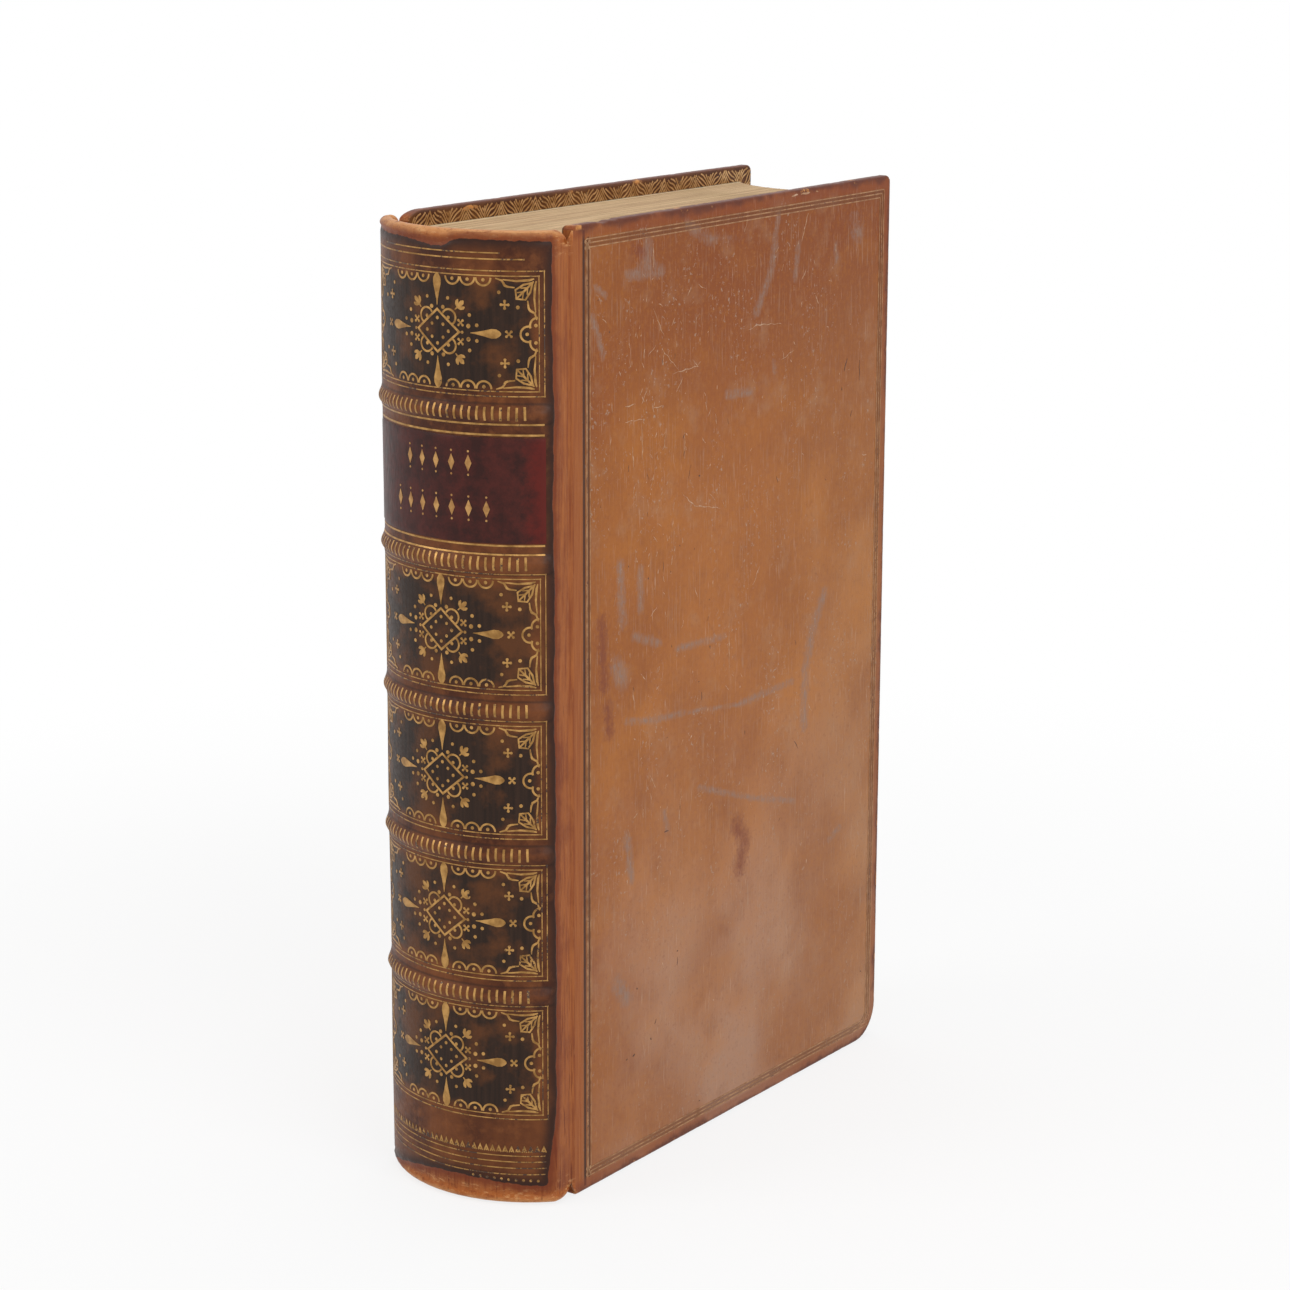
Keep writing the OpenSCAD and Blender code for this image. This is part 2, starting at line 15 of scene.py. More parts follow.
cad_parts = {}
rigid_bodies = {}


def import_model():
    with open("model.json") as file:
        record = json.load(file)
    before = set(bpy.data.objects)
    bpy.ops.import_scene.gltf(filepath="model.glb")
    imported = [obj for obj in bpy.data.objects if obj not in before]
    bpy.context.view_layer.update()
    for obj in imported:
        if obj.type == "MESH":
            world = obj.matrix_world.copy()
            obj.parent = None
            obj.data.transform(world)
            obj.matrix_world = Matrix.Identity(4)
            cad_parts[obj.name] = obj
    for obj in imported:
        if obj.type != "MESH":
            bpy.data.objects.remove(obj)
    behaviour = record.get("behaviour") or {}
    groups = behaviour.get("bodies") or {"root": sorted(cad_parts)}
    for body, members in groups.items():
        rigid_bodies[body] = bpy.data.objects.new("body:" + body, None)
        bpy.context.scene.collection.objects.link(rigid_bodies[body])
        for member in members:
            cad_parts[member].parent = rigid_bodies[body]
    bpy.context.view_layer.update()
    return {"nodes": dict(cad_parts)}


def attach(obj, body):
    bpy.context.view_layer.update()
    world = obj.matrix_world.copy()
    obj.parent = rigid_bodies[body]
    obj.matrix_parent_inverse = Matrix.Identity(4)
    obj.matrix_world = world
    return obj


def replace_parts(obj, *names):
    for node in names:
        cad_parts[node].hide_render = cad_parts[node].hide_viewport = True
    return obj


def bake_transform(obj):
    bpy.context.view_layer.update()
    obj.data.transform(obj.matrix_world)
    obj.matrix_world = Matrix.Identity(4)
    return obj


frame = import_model()

# ---------------------------------------------------------------- sizes of the binding, as in the CAD
MIDDLE_Y = 65.3          # the hinge lines are at y = -MIDDLE_Y in the row frame
HEIGHT, DEPTH, COVER = 250.0, 150.5, 3.3
HALF = 27.5              # half the thickness over the joints
BACK_R, BACK_CY = 36.7, 18.0
SHOULDER_R = 3.0
CALF = 0.9               # leather on the back
CAP_R = 1.8
BANDS = [205.2 - 37.2 * i for i in range(5)]
PANELS = {1: 224.8, 3: 150.4, 4: 113.2, 5: 76.0, 6: 38.8}
BLOCK_LO, BLOCK_HI = 4.2, 245.8
LEAN = {1: math.radians(1.7), -1: math.radians(0.2)}       # front cover, back cover
TURN_IN = 12.0
HEAD_CORNER = 1.8        # the covers' round corners
TAIL_CORNER = {1: 10.0, -1: 3.0}
JOINT_CORNER = {1: 1.0, -1: 2.4}
SIDE_NAME = {1: "front", -1: "back"}
JOINT_REACH = 1.2        # the flexing strip runs this far on both sides of a hinge line

CORNER_X = HALF - SHOULDER_R
CORNER_Y = BACK_CY - math.sqrt((BACK_R - SHOULDER_R) ** 2 - CORNER_X ** 2)
ARC = math.asin(CORNER_X / (BACK_R - SHOULDER_R))
S_ARC = BACK_R * ARC                                        # along the leather, from the middle
S_SIDE = S_ARC + SHOULDER_R * (math.pi / 2 - ARC)
S_HINGE = S_SIDE - CORNER_Y
PANEL_W, PANEL_H = 28.7, 15.2                               # half sizes of a panel's outer line
INNER_W, INNER_H = 27.4, 14.0
ORNAMENT_S = 1.2                                            # the tools sit off the middle
LABEL_Z, LABEL_H = 186.3, 26.2


def smooth(t):
    t = np.clip(t, 0.0, 1.0)
    return t * t * (3.0 - 2.0 * t)


def ripple(*terms):
    """A slow wave: the sum of sines given as (height, argument)."""
    return sum(height * np.sin(argument) for height, argument in terms)


# ---------------------------------------------------------------- where things are
def to_row(x, y, z):
    """Hinge-line millimetres to row-frame metres, as rows of x, y, z."""
    x, y, z = np.broadcast_arrays(*(np.asarray(v, float) for v in (x, y, z)))
    return np.stack([x, y - MIDDLE_Y, z], axis=-1) * 0.001


def on_back(s, z, lift):
    """A point over the leather of the back: s along it from the middle, lift outwards."""
    s, z, lift = np.broadcast_arrays(*(np.asarray(v, float) for v in (s, z, lift)))
    a = np.abs(s)
    angle = np.where(a <= S_ARC, a / BACK_R, ARC + np.clip((a - S_ARC) / SHOULDER_R, 0, math.pi / 2 - ARC))
    x = np.where(a <= S_ARC, BACK_R * np.sin(angle), CORNER_X + SHOULDER_R * np.sin(angle))
    y = np.where(a <= S_ARC, BACK_CY - BACK_R * np.cos(angle), CORNER_Y - SHOULDER_R * np.cos(angle))
    y = y + np.clip(a - S_SIDE, 0, None)
    side = np.where(s < 0, -1.0, 1.0)
    return to_row(side * (x + lift * np.sin(angle)), y - lift * np.cos(angle), z)


def on_cover(side, y, z, deep):
    """A point of a cover: y out from the hinge line, deep inwards from its outside."""
    lean = LEAN[side]
    x = HALF - deep * math.cos(lean) - y * math.sin(lean)
    return to_row(side * x, -deep * math.sin(lean) + y * math.cos(lean), z)


def band_rise(s, z):
    """How far the leather stands out over the nearest raised band."""
    off = np.min([np.abs(z - b) for b in BANDS], axis=0)
    hump = 0.5 * (1 + np.cos(math.pi * np.clip(off / 3.0, 0, 1)))
    return 1.1 * hump ** 0.85 * smooth((S_ARC + 2.0 - np.abs(s)) / 4.2)


# edge of the old leather, as (s, z) along its torn head and worn tail, and (z, s) down its front side
TORN_HEAD = np.array([[-31, 247.0], [-20, 246.5], [-13, 246.6], [-8, 246.3], [-4, 245.8], [-0.3, 245.3],
                      [1.9, 245.3], [4, 245.9], [6, 247.2], [10, 247.5], [14, 247.4], [31, 247.0]])
WORN_TAIL = np.array([[-31, 1.2], [-26, 2.0], [-18, 3.9], [-12, 5.3], [-4, 6.6], [3, 7.1], [11, 6.8], [19, 6.0],
                      [31, 5.0]])
WORN_SIDE = np.array([[0, 28.3], [8, 28.6], [16, 29.3], [20, 30.2], [24, 30.9], [31, 31.2], [250, 30.7]])


def old_leather(s, z):
    """Distance in from the edge of the dark old leather that is laid on the back, below 0 outside it."""
    reach = np.where(s > 0, np.interp(z, WORN_SIDE[:, 0], WORN_SIDE[:, 1]), 30.7)
    side = reach + ripple((0.2, 0.13 * z), (0.13, 0.43 * z + 1.0), (0.07, 1.3 * z)) - np.abs(s)
    head = np.interp(s, TORN_HEAD[:, 0], TORN_HEAD[:, 1]) + ripple((0.1, 1.7 * s), (0.06, 4.1 * s + 2)) - z
    tail = z - np.interp(s, WORN_TAIL[:, 0], WORN_TAIL[:, 1]) + ripple((0.12, 0.9 * s), (0.09, 2.6 * s + 1))
    end = np.minimum(head, tail)
    r = 1.2
    rounded = r - np.hypot(np.clip(r - side, 0, None), np.clip(r - end, 0, None))
    return np.where(np.minimum(side, end) > r, np.minimum(side, end), rounded)


def stained(s, z):
    """Distance in from the edge of the nearest dark panel ground, below 0 outside all of them."""
    wide = 27.0 - np.abs(s)
    return np.max([np.minimum(wide, 13.9 - np.abs(z - c)) for c in PANELS.values()], axis=0)


def leather_lift(s, z):
    """Height of the finished back over the plain one: bands, old leather, small unevenness."""
    step = -0.32 * (1 - smooth(old_leather(s, z) / 0.5 + 0.5))
    hollow = ripple((0.05, 0.21 * s + 0.07 * z), (0.04, 0.11 * z - 0.3 * s + 1.0))
    off = np.abs(z - HEIGHT / 2)
    crease = -0.3 * np.exp(-((off - 122.1) / 0.45) ** 2)
    return band_rise(s, z) + (step + hollow + crease) * (1 - smooth((off - 121.6) / 1.2)) - 0.06


# ---------------------------------------------------------------- meshes
def piece(name, points, faces, materials, body=None, seam=None, smooth_over=40, marks=None):
    """A closed mesh in the row frame, doubles merged, faces outwards; marks are point attributes."""
    mesh = bpy.data.meshes.new(name)
    mesh.from_pydata([tuple(p) for p in np.asarray(points).reshape(-1, 3)], [], faces)
    for key, values in (marks or {}).items():
        mesh.attributes.new(key, "FLOAT", "POINT").data.foreach_set("value", np.ravel(values).astype(np.float32))
    return settle(name, mesh, materials, body, seam, smooth_over)


def settle(name, mesh, materials, body=None, seam=None, smooth_over=40, weld=1e-7):
    """Cleans a mesh, puts it in the scene and lets it ride on a body; with a seam, its placement is baked into its
    points instead.
    """
    shape = bmesh.new()
    shape.from_mesh(mesh)
    bmesh.ops.remove_doubles(shape, verts=shape.verts, dist=weld)
    bmesh.ops.recalc_face_normals(shape, faces=shape.faces)
    shape.to_mesh(mesh)
    shape.free()
    mesh.polygons.foreach_set("use_smooth", [True] * len(mesh.polygons))
    mesh.set_sharp_from_angle(angle=math.radians(smooth_over))
    mesh.materials.clear()
    for material in materials:
        mesh.materials.append(material)
    made = bpy.data.objects.new(name, mesh)
    bpy.context.scene.collection.objects.link(made)
    if body:
        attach(made, body)
    if seam:
        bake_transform(made)
    return made


def quads(rows, cols, start=0, wrap=False):
    """Faces of a grid of points stored row by row; wrap joins the last column to the first."""
    last = cols if wrap else cols - 1
    return [(start + r * cols + c, start + r * cols + (c + 1) % cols,
             start + (r + 1) * cols + (c + 1) % cols, start + (r + 1) * cols + c)
            for r in range(rows - 1) for c in range(last)]


# ---------------------------------------------------------------- materials
def paint(code):
    """sRGB hex to the linear colour that the nodes take."""
    parts = [int(code[i:i + 2], 16) / 255 for i in (1, 3, 5)]
    return tuple(c / 12.92 if c <= 0.04045 else ((c + 0.055) / 1.055) ** 2.4 for c in parts) + (1.0,)


# nodes used often: (kind, the inputs that are filled in this order, the output taken, usual settings)
MIX = ("ShaderNodeMix", (0, 6, 7), 2, {"data_type": "RGBA"})
MAP = ("ShaderNodeMapRange", (0, 1, 2, 3, 4), 0, {})
SOFT_MAP = MAP[:3] + ({"interpolation_type": "SMOOTHSTEP"},)
NOISE = ("ShaderNodeTexNoise", ("Vector", "Scale", "Detail", "Roughness"), 0, {})
DROPS = ("ShaderNodeTexVoronoi", ("Vector", "Scale"), 0, {"feature": "F1"})
BUMP = ("ShaderNodeBump", ("Strength", "Distance", "Height"), 0, {})
SHIFT, STRETCH, DIVIDE, AWAY = (("ShaderNodeVectorMath", (0, 1), 0, {"operation": name})
                                for name in ("ADD", "MULTIPLY", "DIVIDE", "SUBTRACT"))
SCALE = ("ShaderNodeVectorMath", (0, 3), 0, {"operation": "SCALE"})
LENGTH = ("ShaderNodeVectorMath", (0,), 1, {"operation": "LENGTH"})
PLUS, MINUS, TIMES, LARGER, ABOVE, UNSIGNED = (
    ("ShaderNodeMath", (0, 1), 0, {"operation": name})
    for name in ("ADD", "SUBTRACT", "MULTIPLY", "MAXIMUM", "GREATER_THAN", "ABSOLUTE"))
SPLIT, JOIN, PLACE = "ShaderNodeSeparateXYZ", "ShaderNodeCombineXYZ", "ShaderNodeTexCoord"


def add(tree, kind, *values, out=None, **settings):
    """Adds one node, fills its inputs in order with numbers, sRGB hex colours or other nodes' outputs (None
    leaves an input alone), and gives an output."""
    kind, inputs, usual_out, usual = kind if isinstance(kind, tuple) else (kind, range(9), 0, {})
    made = tree.nodes.new(kind)
    for key, value in {**usual, **settings}.items():
        setattr(made, key, value)
    for key, value in zip(inputs, values):
        if isinstance(value, bpy.types.NodeSocket):
            tree.links.new(value, made.inputs[key])
        elif value is not None:
            made.inputs[key].default_value = paint(value) if str(value)[0] == "#" else value
    return made.outputs[usual_out if out is None else out]


def new_material(name, marks=(), noises=(), **plain):
    """A material whose shader has plain values set: the material, the shader, add() for its tree, the point in
    millimetres, the marks that the piece's points carry, and its noises. A noise is (size in millimetres,
    detail, roughness); three sizes stretch it along x, y and z."""
    material = bpy.data.materials.new(name)
    material.use_nodes = True
    tree = material.node_tree
    tree.nodes.clear()
    shader = tree.nodes.new("ShaderNodeBsdfPrincipled")
    tree.links.new(shader.outputs[0], tree.nodes.new("ShaderNodeOutputMaterial").inputs[0])
    for key, value in plain.items():
        shader.inputs[key.replace("_", " ")].default_value = value
    put = partial(add, tree)
    point = put(SCALE, put(PLACE, out=3), 1000.0)
    read = [put("ShaderNodeAttribute", out=2, attribute_name=mark) for mark in marks]
    made = []
    for size, *rest in noises:
        if isinstance(size, tuple):
            made.append(put(NOISE, put(STRETCH, point, tuple(1 / v for v in size)), 1.0, *rest))
        else:
            made.append(put(NOISE, point, 1 / size, *rest))
    return material, shader, put, point, read, made


def wire(shader, **ends):
    """Links nodes' outputs to the shader's inputs of those names."""
    for key, end in ends.items():
        shader.id_data.links.new(end, shader.inputs[key.replace("_", " ")])


def back_calf():
    """Two ages of calf: the newer orange one on caps, shoulders and joints, and the old dark spine
    laid on it, stained nearly black in the panels. Polished by handling, so the gloss is soft and wide."""
    material, shader, put, point, read, noises = new_material("rebacked_calf", ("laid", "ground", "rise"), (
        (13, 5.0, 0.6), (3.5, 4.0, 0.6), (1.1, 4.0, 0.65), ((0.9, 0.9, 18), 4.0, 0.55), (0.45, 2.0),
        ((3.4, 3.4, 1.3), 6.0, 0.72), ((0.45, 0.45, 9), 3.0, 0.6)), IOR=1.45, Specular_IOR_Level=0.22)
    laid, ground, rise = read
    cloud, small, fine, streak, pores, roll, crack = noises
    height = put(SPLIT, point, out=2)

    # newer calf: orange, with red run-down streaks towards the tail; paler along the tops of the caps, partly rubbed
    # and partly a painted highlight; darker just outside the old leather's edge, a painted shade at the foot of its
    # step
    off_middle = put(UNSIGNED, put(MINUS, height, HEIGHT / 2))
    ends = put(MAP, off_middle, 117.0, 121.0)
    new = put(MIX, put(MAP, streak, 0.3, 0.7), "#7E3D1F", "#B06A36")
    for share, tone in (
            (put(MAP, cloud, 0.48, 0.66, 0.0, 0.55), "#763A20"),
            (put(TIMES, put(MAP, streak, 0.56, 0.64), put(MAP, height, 150.0, 30.0, 0.15, 0.8)), "#66260F"),
            (put(MAP, off_middle, 120.6, 122.6, 0.0, 0.7), "#B0622A"),
            # painted highlight, and rubbing: paler along the top of each cap's roll
            (put(MAP, put(PLUS, off_middle, put(TIMES, small, 3.0)), 124.0, 125.8, 0.0, 0.8), "#D09660"),
            (put(TIMES, put(MAP, roll, 0.54, 0.64, 0.0, 0.7), ends), "#D59E68"),
            (put(TIMES, put(MAP, roll, 0.45, 0.36, 0.0, 0.8), ends), "#84401C"),
            (put(MAP, crack, 0.6, 0.68, 0.0, 0.5), "#5A2A14"),
            (put(MAP, crack, 0.4, 0.32, 0.0, 0.35), "#C4854E"),
            # painted shade: darker red-brown just outside the old leather's edge, where it steps up
            (put(SOFT_MAP, put(PLUS, laid, put(TIMES, small, 3.0)), -1.6, 0.9, 0.0, 0.8), "#70321A")):
        new = put(MIX, share, new, tone)

    # old calf: red brown, clouded, nearly black along its edges; lighter on the crests of the bands, a painted
    # highlight, and nearly black along their feet, a painted shadow
    dark = put(MIX, put(MAP, streak, 0.25, 0.8), "#20140D", "#38251A")
    dark = put(MIX, put(MAP, cloud, 0.49, 0.64, 0.0, 0.8), dark, "#5F371B")
    old = put(MIX, put(MAP, cloud, 0.36, 0.66), "#44200F", "#72401F")
    for share, tone in (
            (put(MAP, small, 0.5, 0.72, 0.0, 0.45), "#8C532B"),
            (put(SOFT_MAP, put(PLUS, laid, put(TIMES, cloud, -5.0)), -2.4, 1.2, 0.9, 0.0), "#2B1812"),
            (put(SOFT_MAP, put(PLUS, ground, put(TIMES, cloud, -4.5)), -2.9, 0.4), dark),
            # painted highlight: lighter on the crests of the bands
            (put(MAP, put(PLUS, rise, fine), 1.25, 1.75, 0.0, 0.45), "#7E4826"),
            # painted shadow: nearly black along the foot of each band
            (put(TIMES, put(MAP, rise, 0.01, 0.08), put(MAP, rise, 0.3, 0.1, 0.0, 0.55)), "#26130B")):
        old = put(MIX, share, old, tone)

    torn = put(SOFT_MAP, put(PLUS, laid, put(TIMES, fine, -0.5)), -0.36, -0.2)
    grain = put(PLUS, pores, put(PLUS, streak, small))
    wire(shader, Base_Color=put(MIX, torn, new, old), Roughness=put(MAP, fine, 0.3, 0.7, 0.36, 0.54),
         Normal=put(BUMP, 0.35, 0.00012, grain))
    return material


# marks on the front board as (width, points), each point (out from the hinge line, height)
SCUFFS = [(1.3, [(50.6, 245.7), (57.5, 242.3), (65.5, 239.5), (80, 238.8)]),
    (1.2, [(92.3, 239.2), (89.9, 229.7), (82.8, 219.7)]), (1, [(103.1, 235.8), (101.7, 226.7)]),
    (0.9, [(93.3, 244.8), (91.3, 237)]), (0.9, [(9.2, 227.1), (13.7, 216.9)]),
    (0.7, [(10.1, 234.4), (14.7, 231.8)]), (1.2, [(23.9, 235.6), (39, 235.1)]),
    (1.6, [(32.9, 243), (32.9, 237)]), (2.4, [(131.5, 238.5), (133.5, 236)]),
    (0.8, [(121.8, 234), (122.5, 229.2)]), (0.9, [(69.1, 199.7), (80.5, 199)]),
    (0.8, [(91.5, 205.4), (92, 203)]), (0.75, [(23.2, 121.8), (35.8, 119.4), (49.8, 118.4)]),
    (0.5, [(49.8, 118.4), (76.7, 115)]), (0.8, [(76.7, 115), (88.5, 115.5), (102.7, 115.9)]),
    (1.5, [(119, 137.8), (112.5, 127.4), (109.4, 116.9), (109.2, 102.2)]),
    (0.8, [(46.6, 136.2), (69.1, 135.3)]), (1, [(27, 143.5), (38.7, 139.2)]),
    (0.7, [(57.2, 96.3), (84.7, 86.8), (104.7, 81.4)]), (1.3, [(24.2, 90.7), (26.2, 79.1)]),
    (0.8, [(129.1, 67.9), (123.3, 65.5)]), (0.9, [(41, 93.7), (42.5, 88)]), (2.2, [(19.5, 137), (22, 133)]),
    (1.4, [(21, 163), (22, 148)]), (1.2, [(30, 160), (30, 150)]), (2, [(20, 52), (24, 47)])]
SCRATCHES = [(0.3, [(52.2, 229.8), (50.7, 227.8)]), (0.25, [(39.2, 215.4), (46.5, 209.4)]),
    (0.3, [(44.1, 208.6), (55.4, 209.1), (52.9, 211.1)]), (0.22, [(35.3, 226.2), (40.1, 218.5)]),
    (0.28, [(79.2, 215.5), (83.3, 216.4), (95, 215.4)]), (0.25, [(101.6, 207.6), (95.2, 205.5)]),
    (0.3, [(30.6, 206.6), (29.6, 205)]), (0.3, [(23, 202.9), (27.7, 203.1)]),
    (0.3, [(23, 199.1), (31.1, 198.8)]), (0.22, [(49.6, 192.8), (49.7, 186)]),
    (0.28, [(30.6, 196.1), (30.7, 188.3)]), (0.22, [(41.2, 195.1), (40.3, 190.2)]),
    (0.22, [(17, 196.4), (16.5, 193.2)]), (0.3, [(35.4, 200.9), (39.3, 201)]),
    (0.25, [(48.3, 177.2), (54.3, 172.8), (66.5, 170.2)]), (0.3, [(107.7, 243.5), (104.7, 236.3)]),
    (0.3, [(35.2, 242.5), (35.2, 236.6)]), (0.22, [(78.2, 244.5), (76.7, 241.3)]),
    (0.25, [(13.3, 226.3), (15.1, 224.8)]), (0.25, [(37.6, 227.1), (39.6, 226.3)]),
    (0.22, [(55.6, 230), (58.6, 228.6)]), (0.25, [(71.1, 138.4), (71.3, 124.8)]),
    (0.25, [(49, 98.3), (47.5, 87.3)]), (0.22, [(34.4, 105.2), (36.9, 101.1)]),
    (0.4, [(27.1, 95.3), (28.6, 96.1)]), (0.35, [(34.2, 55.5), (35.2, 54.6)]),
    (0.35, [(40.2, 52.3), (41, 50.9)]), (0.3, [(44.7, 62.2), (45.4, 60.8)])]
NICKS = [(0.4, [(128.9, 201.8), (127.3, 198.4)]), (0.4, [(135.3, 200.4), (135.5, 194.9)]),
    (0.4, [(131.7, 187), (131.2, 185.2)]), (0.45, [(126.3, 194.3), (126.4, 193.1)]),
    (0.5, [(11.5, 231), (11.7, 230.7)]), (0.5, [(16.3, 222.8), (16.5, 222.5)]),
    (0.5, [(56.2, 180.5), (56.7, 180.2)]), (0.5, [(33.2, 157.4), (33.5, 157)]),
    (0.5, [(61.8, 134.1), (62.1, 133.4)]), (0.5, [(41, 88.1), (43, 87.9)]), (0.5, [(23.9, 29.9), (24.6, 30.2)]),
    (0.6, [(27, 30.2), (27.8, 30.8)]), (0.5, [(35.1, 33), (35.3, 32.3)]), (0.45, [(28.5, 48.5), (28.9, 48.1)]),
    (0.45, [(47.1, 53.6), (47.7, 53.7)]), (0.5, [(141.6, 21.4), (142.3, 21)]),
    (0.5, [(58.7, 7.8), (58.2, 7.7)])]
STAINS = [(3.4, [(76, 81), (79.5, 76), (77.5, 69.5)]), (2.2, [(15.6, 127.2), (16.5, 120.2)]),
    (2.4, [(13, 150), (14, 133)]), (2, [(27.5, 242), (32, 239.6)])]


def nearest_mark(y, z, marks):
    """Distance from places on a board to the nearest of some marks, counted in that mark's widths."""
    nearest = np.full(np.shape(y), 9.0)
    for width, points in marks:
        for (y0, z0), (y1, z1) in zip(points[:-1], points[1:]):
            along_y, along_z = y1 - y0, z1 - z0
            share = ((y - y0) * along_y + (z - z0) * along_z) / (along_y ** 2 + along_z ** 2)
            share = np.clip(share, 0, 1)
            nearest = np.minimum(nearest, np.hypot(y - y0 - share * along_y, z - z0 - share * along_z) / width)
    return nearest


def cover_calf():
    """Tan calf, polished smooth and then scuffed: dry grey rubs, fine scratches, dark handled edges."""
    material, shader, put, point, read, noises = new_material(
        "cover_calf", ("edge", "scuffed", "stained", "turned"), (
            (42, 3.0), (10, 6.0, 0.62), (1.3, 4.0, 0.7), ((1.2, 0.5, 17), 3.0, 0.6), ((1.2, 8, 0.7), 3.0, 0.6),
            (0.4, 2.0), ((50, 50, 34), 3.0), ((0.8, 0.8, 2.4), 4.0, 0.75), (1.2, 3.0, 0.7), ((11, 11, 26), 4.0)),
        IOR=1.45, Specular_IOR_Level=0.2)
    edge, rubbed_by, stained_by, turned = read
    cloud, mottle, fine, down, along, pores, broad, broken, speckle, crowd = noises
    split = put(SPLIT, point).node
    across, height = put(PLUS, split.outputs[1], MIDDLE_Y), split.outputs[2]     # out from the hinge line, up

    # the dye: redder at the head and towards the joint, tan in the middle; the greyer tone at the tail and the paler
    # one towards the fore-edge are a painted sheen
    # painted sheen: paler and greyer towards the fore-edge, below the head
    fore = put(TIMES, put(MAP, across, 85.0, 148.0, 0.0, 0.5), put(MAP, height, 235.0, 150.0))
    beside = put(TIMES, put(MAP, put(PLUS, across, put(TIMES, cloud, 14.0)), 22.0, 15.0, 0.0, 0.6),
                 put(MAP, down, 0.35, 0.6, 0.35))
    # painted sheen: greyer towards the tail
    colour = put(MIX, put(SOFT_MAP, height, 5.0, 145.0), "#AE856C", "#A76632")
    for share, tone in ((put(SOFT_MAP, height, 150.0, 245.0), "#84431A"),
                        (put(MAP, across, 45.0, 6.0, 0.0, 0.55), "#965322"), (fore, "#AE8058"), (beside, "#7A3E20")):
        colour = put(MIX, share, colour, tone)
    for noise, low, high, most, tone in (
            (broad, 0.46, 0.62, 0.4, "#B4702E"), (cloud, 0.45, 0.62, 0.5, "#8C4F24"),
            (mottle, 0.52, 0.78, 0.4, "#844A22"), (mottle, 0.46, 0.28, 0.35, "#A67E60"),
            (down, 0.54, 0.8, 0.15, "#B27C48"), (along, 0.57, 0.8, 0.15, "#AE7848"),
            (down, 0.44, 0.25, 0.15, "#85502C"), (fine, 0.5, 0.75, 0.3, "#B87838"),
            (fine, 0.46, 0.25, 0.4, "#7F441C")):
        colour = put(MIX, put(MAP, noise, low, high, 0.0, most), colour, tone)

    # what rubbed against it: grey scuffs, dry specks, red-brown stains and hair-fine scratches
    fray = put(TIMES, put(MINUS, fine, 0.5), 2.2)
    rubs = put(TIMES, put(MAP, put(PLUS, rubbed_by, fray), 1.7, 0.1, 0.0, 0.92), put(MAP, broken, 0.38, 0.56, 0.2))
    dry = put(TIMES, put(MAP, mottle, 0.5, 0.62), put(MAP, down, 0.55, 0.66, 0.0, 0.3))
    specks = put(TIMES, put(MAP, speckle, 0.6, 0.68, 0.0, 0.85), put(MAP, crowd, 0.47, 0.62))
    scuff = put(LARGER, dry, put(TIMES, specks, put(MAP, height, 30.0, 110.0, 0.65)))
    stain = put(MAP, put(PLUS, stained_by, fray), 1.2, 0.1, 0.0, 0.75)
    hairs = 0.0
    for turn, spread, most in ((0.05, 9.0, 0.6), (0.5, 7.0, 0.45), (-0.9, 6.0, 0.45)):
        lay = put("ShaderNodeMapping", point, None, (turn, 0.0, 0.0), (1.0, 1 / 0.3, 1 / spread))
        hairs = put(LARGER, hairs, put(MAP, put(NOISE, lay, 1.0, 2.0), 0.69, 0.75, 0.0, most))
    # rubbed strip along the joint
    strip = put(MAP, put(PLUS, across, put(TIMES, mottle, 1.5)), 4.6, 6.2, 1.0, 0.0)
    rubbed = put(MIX, put(MAP, down, 0.3, 0.7), "#8C4923", "#A46232")
    for share, tone in ((rubs, "#8F7466"), (scuff, "#A8917F"), (stain, "#7A3F2A"), (hairs, "#C2A088"),
                        (strip, rubbed)):
        colour = put(MIX, share, colour, tone)

    # dark lines struck down the joint's far side, and round the other three edges: how far in, half width,
    # where it runs out, depth of the dye
    for way, line, wide, solid, other, run_out, most, tone in (
            (across, 5.5, 0.7, 0.28, edge, (1.3, 1.5), 0.92, "#38201A"),
            (across, 7.4, 0.5, 0.2, edge, (3.0, 3.2), 0.85, "#4C2C1C"),
            (edge, 4.1, 0.45, 0.15, across, (5.8, 6.2), 0.5, "#5C3822"),
            (edge, 5.15, 0.45, 0.15, across, (5.8, 6.2), 0.5, "#5C3822")):
        near = put(UNSIGNED, put(MINUS, way, line))
        struck = put(TIMES, put(MAP, near, wide, solid, 0.0, most), put(MAP, other, *run_out))
        colour = put(MIX, struck, colour, tone)

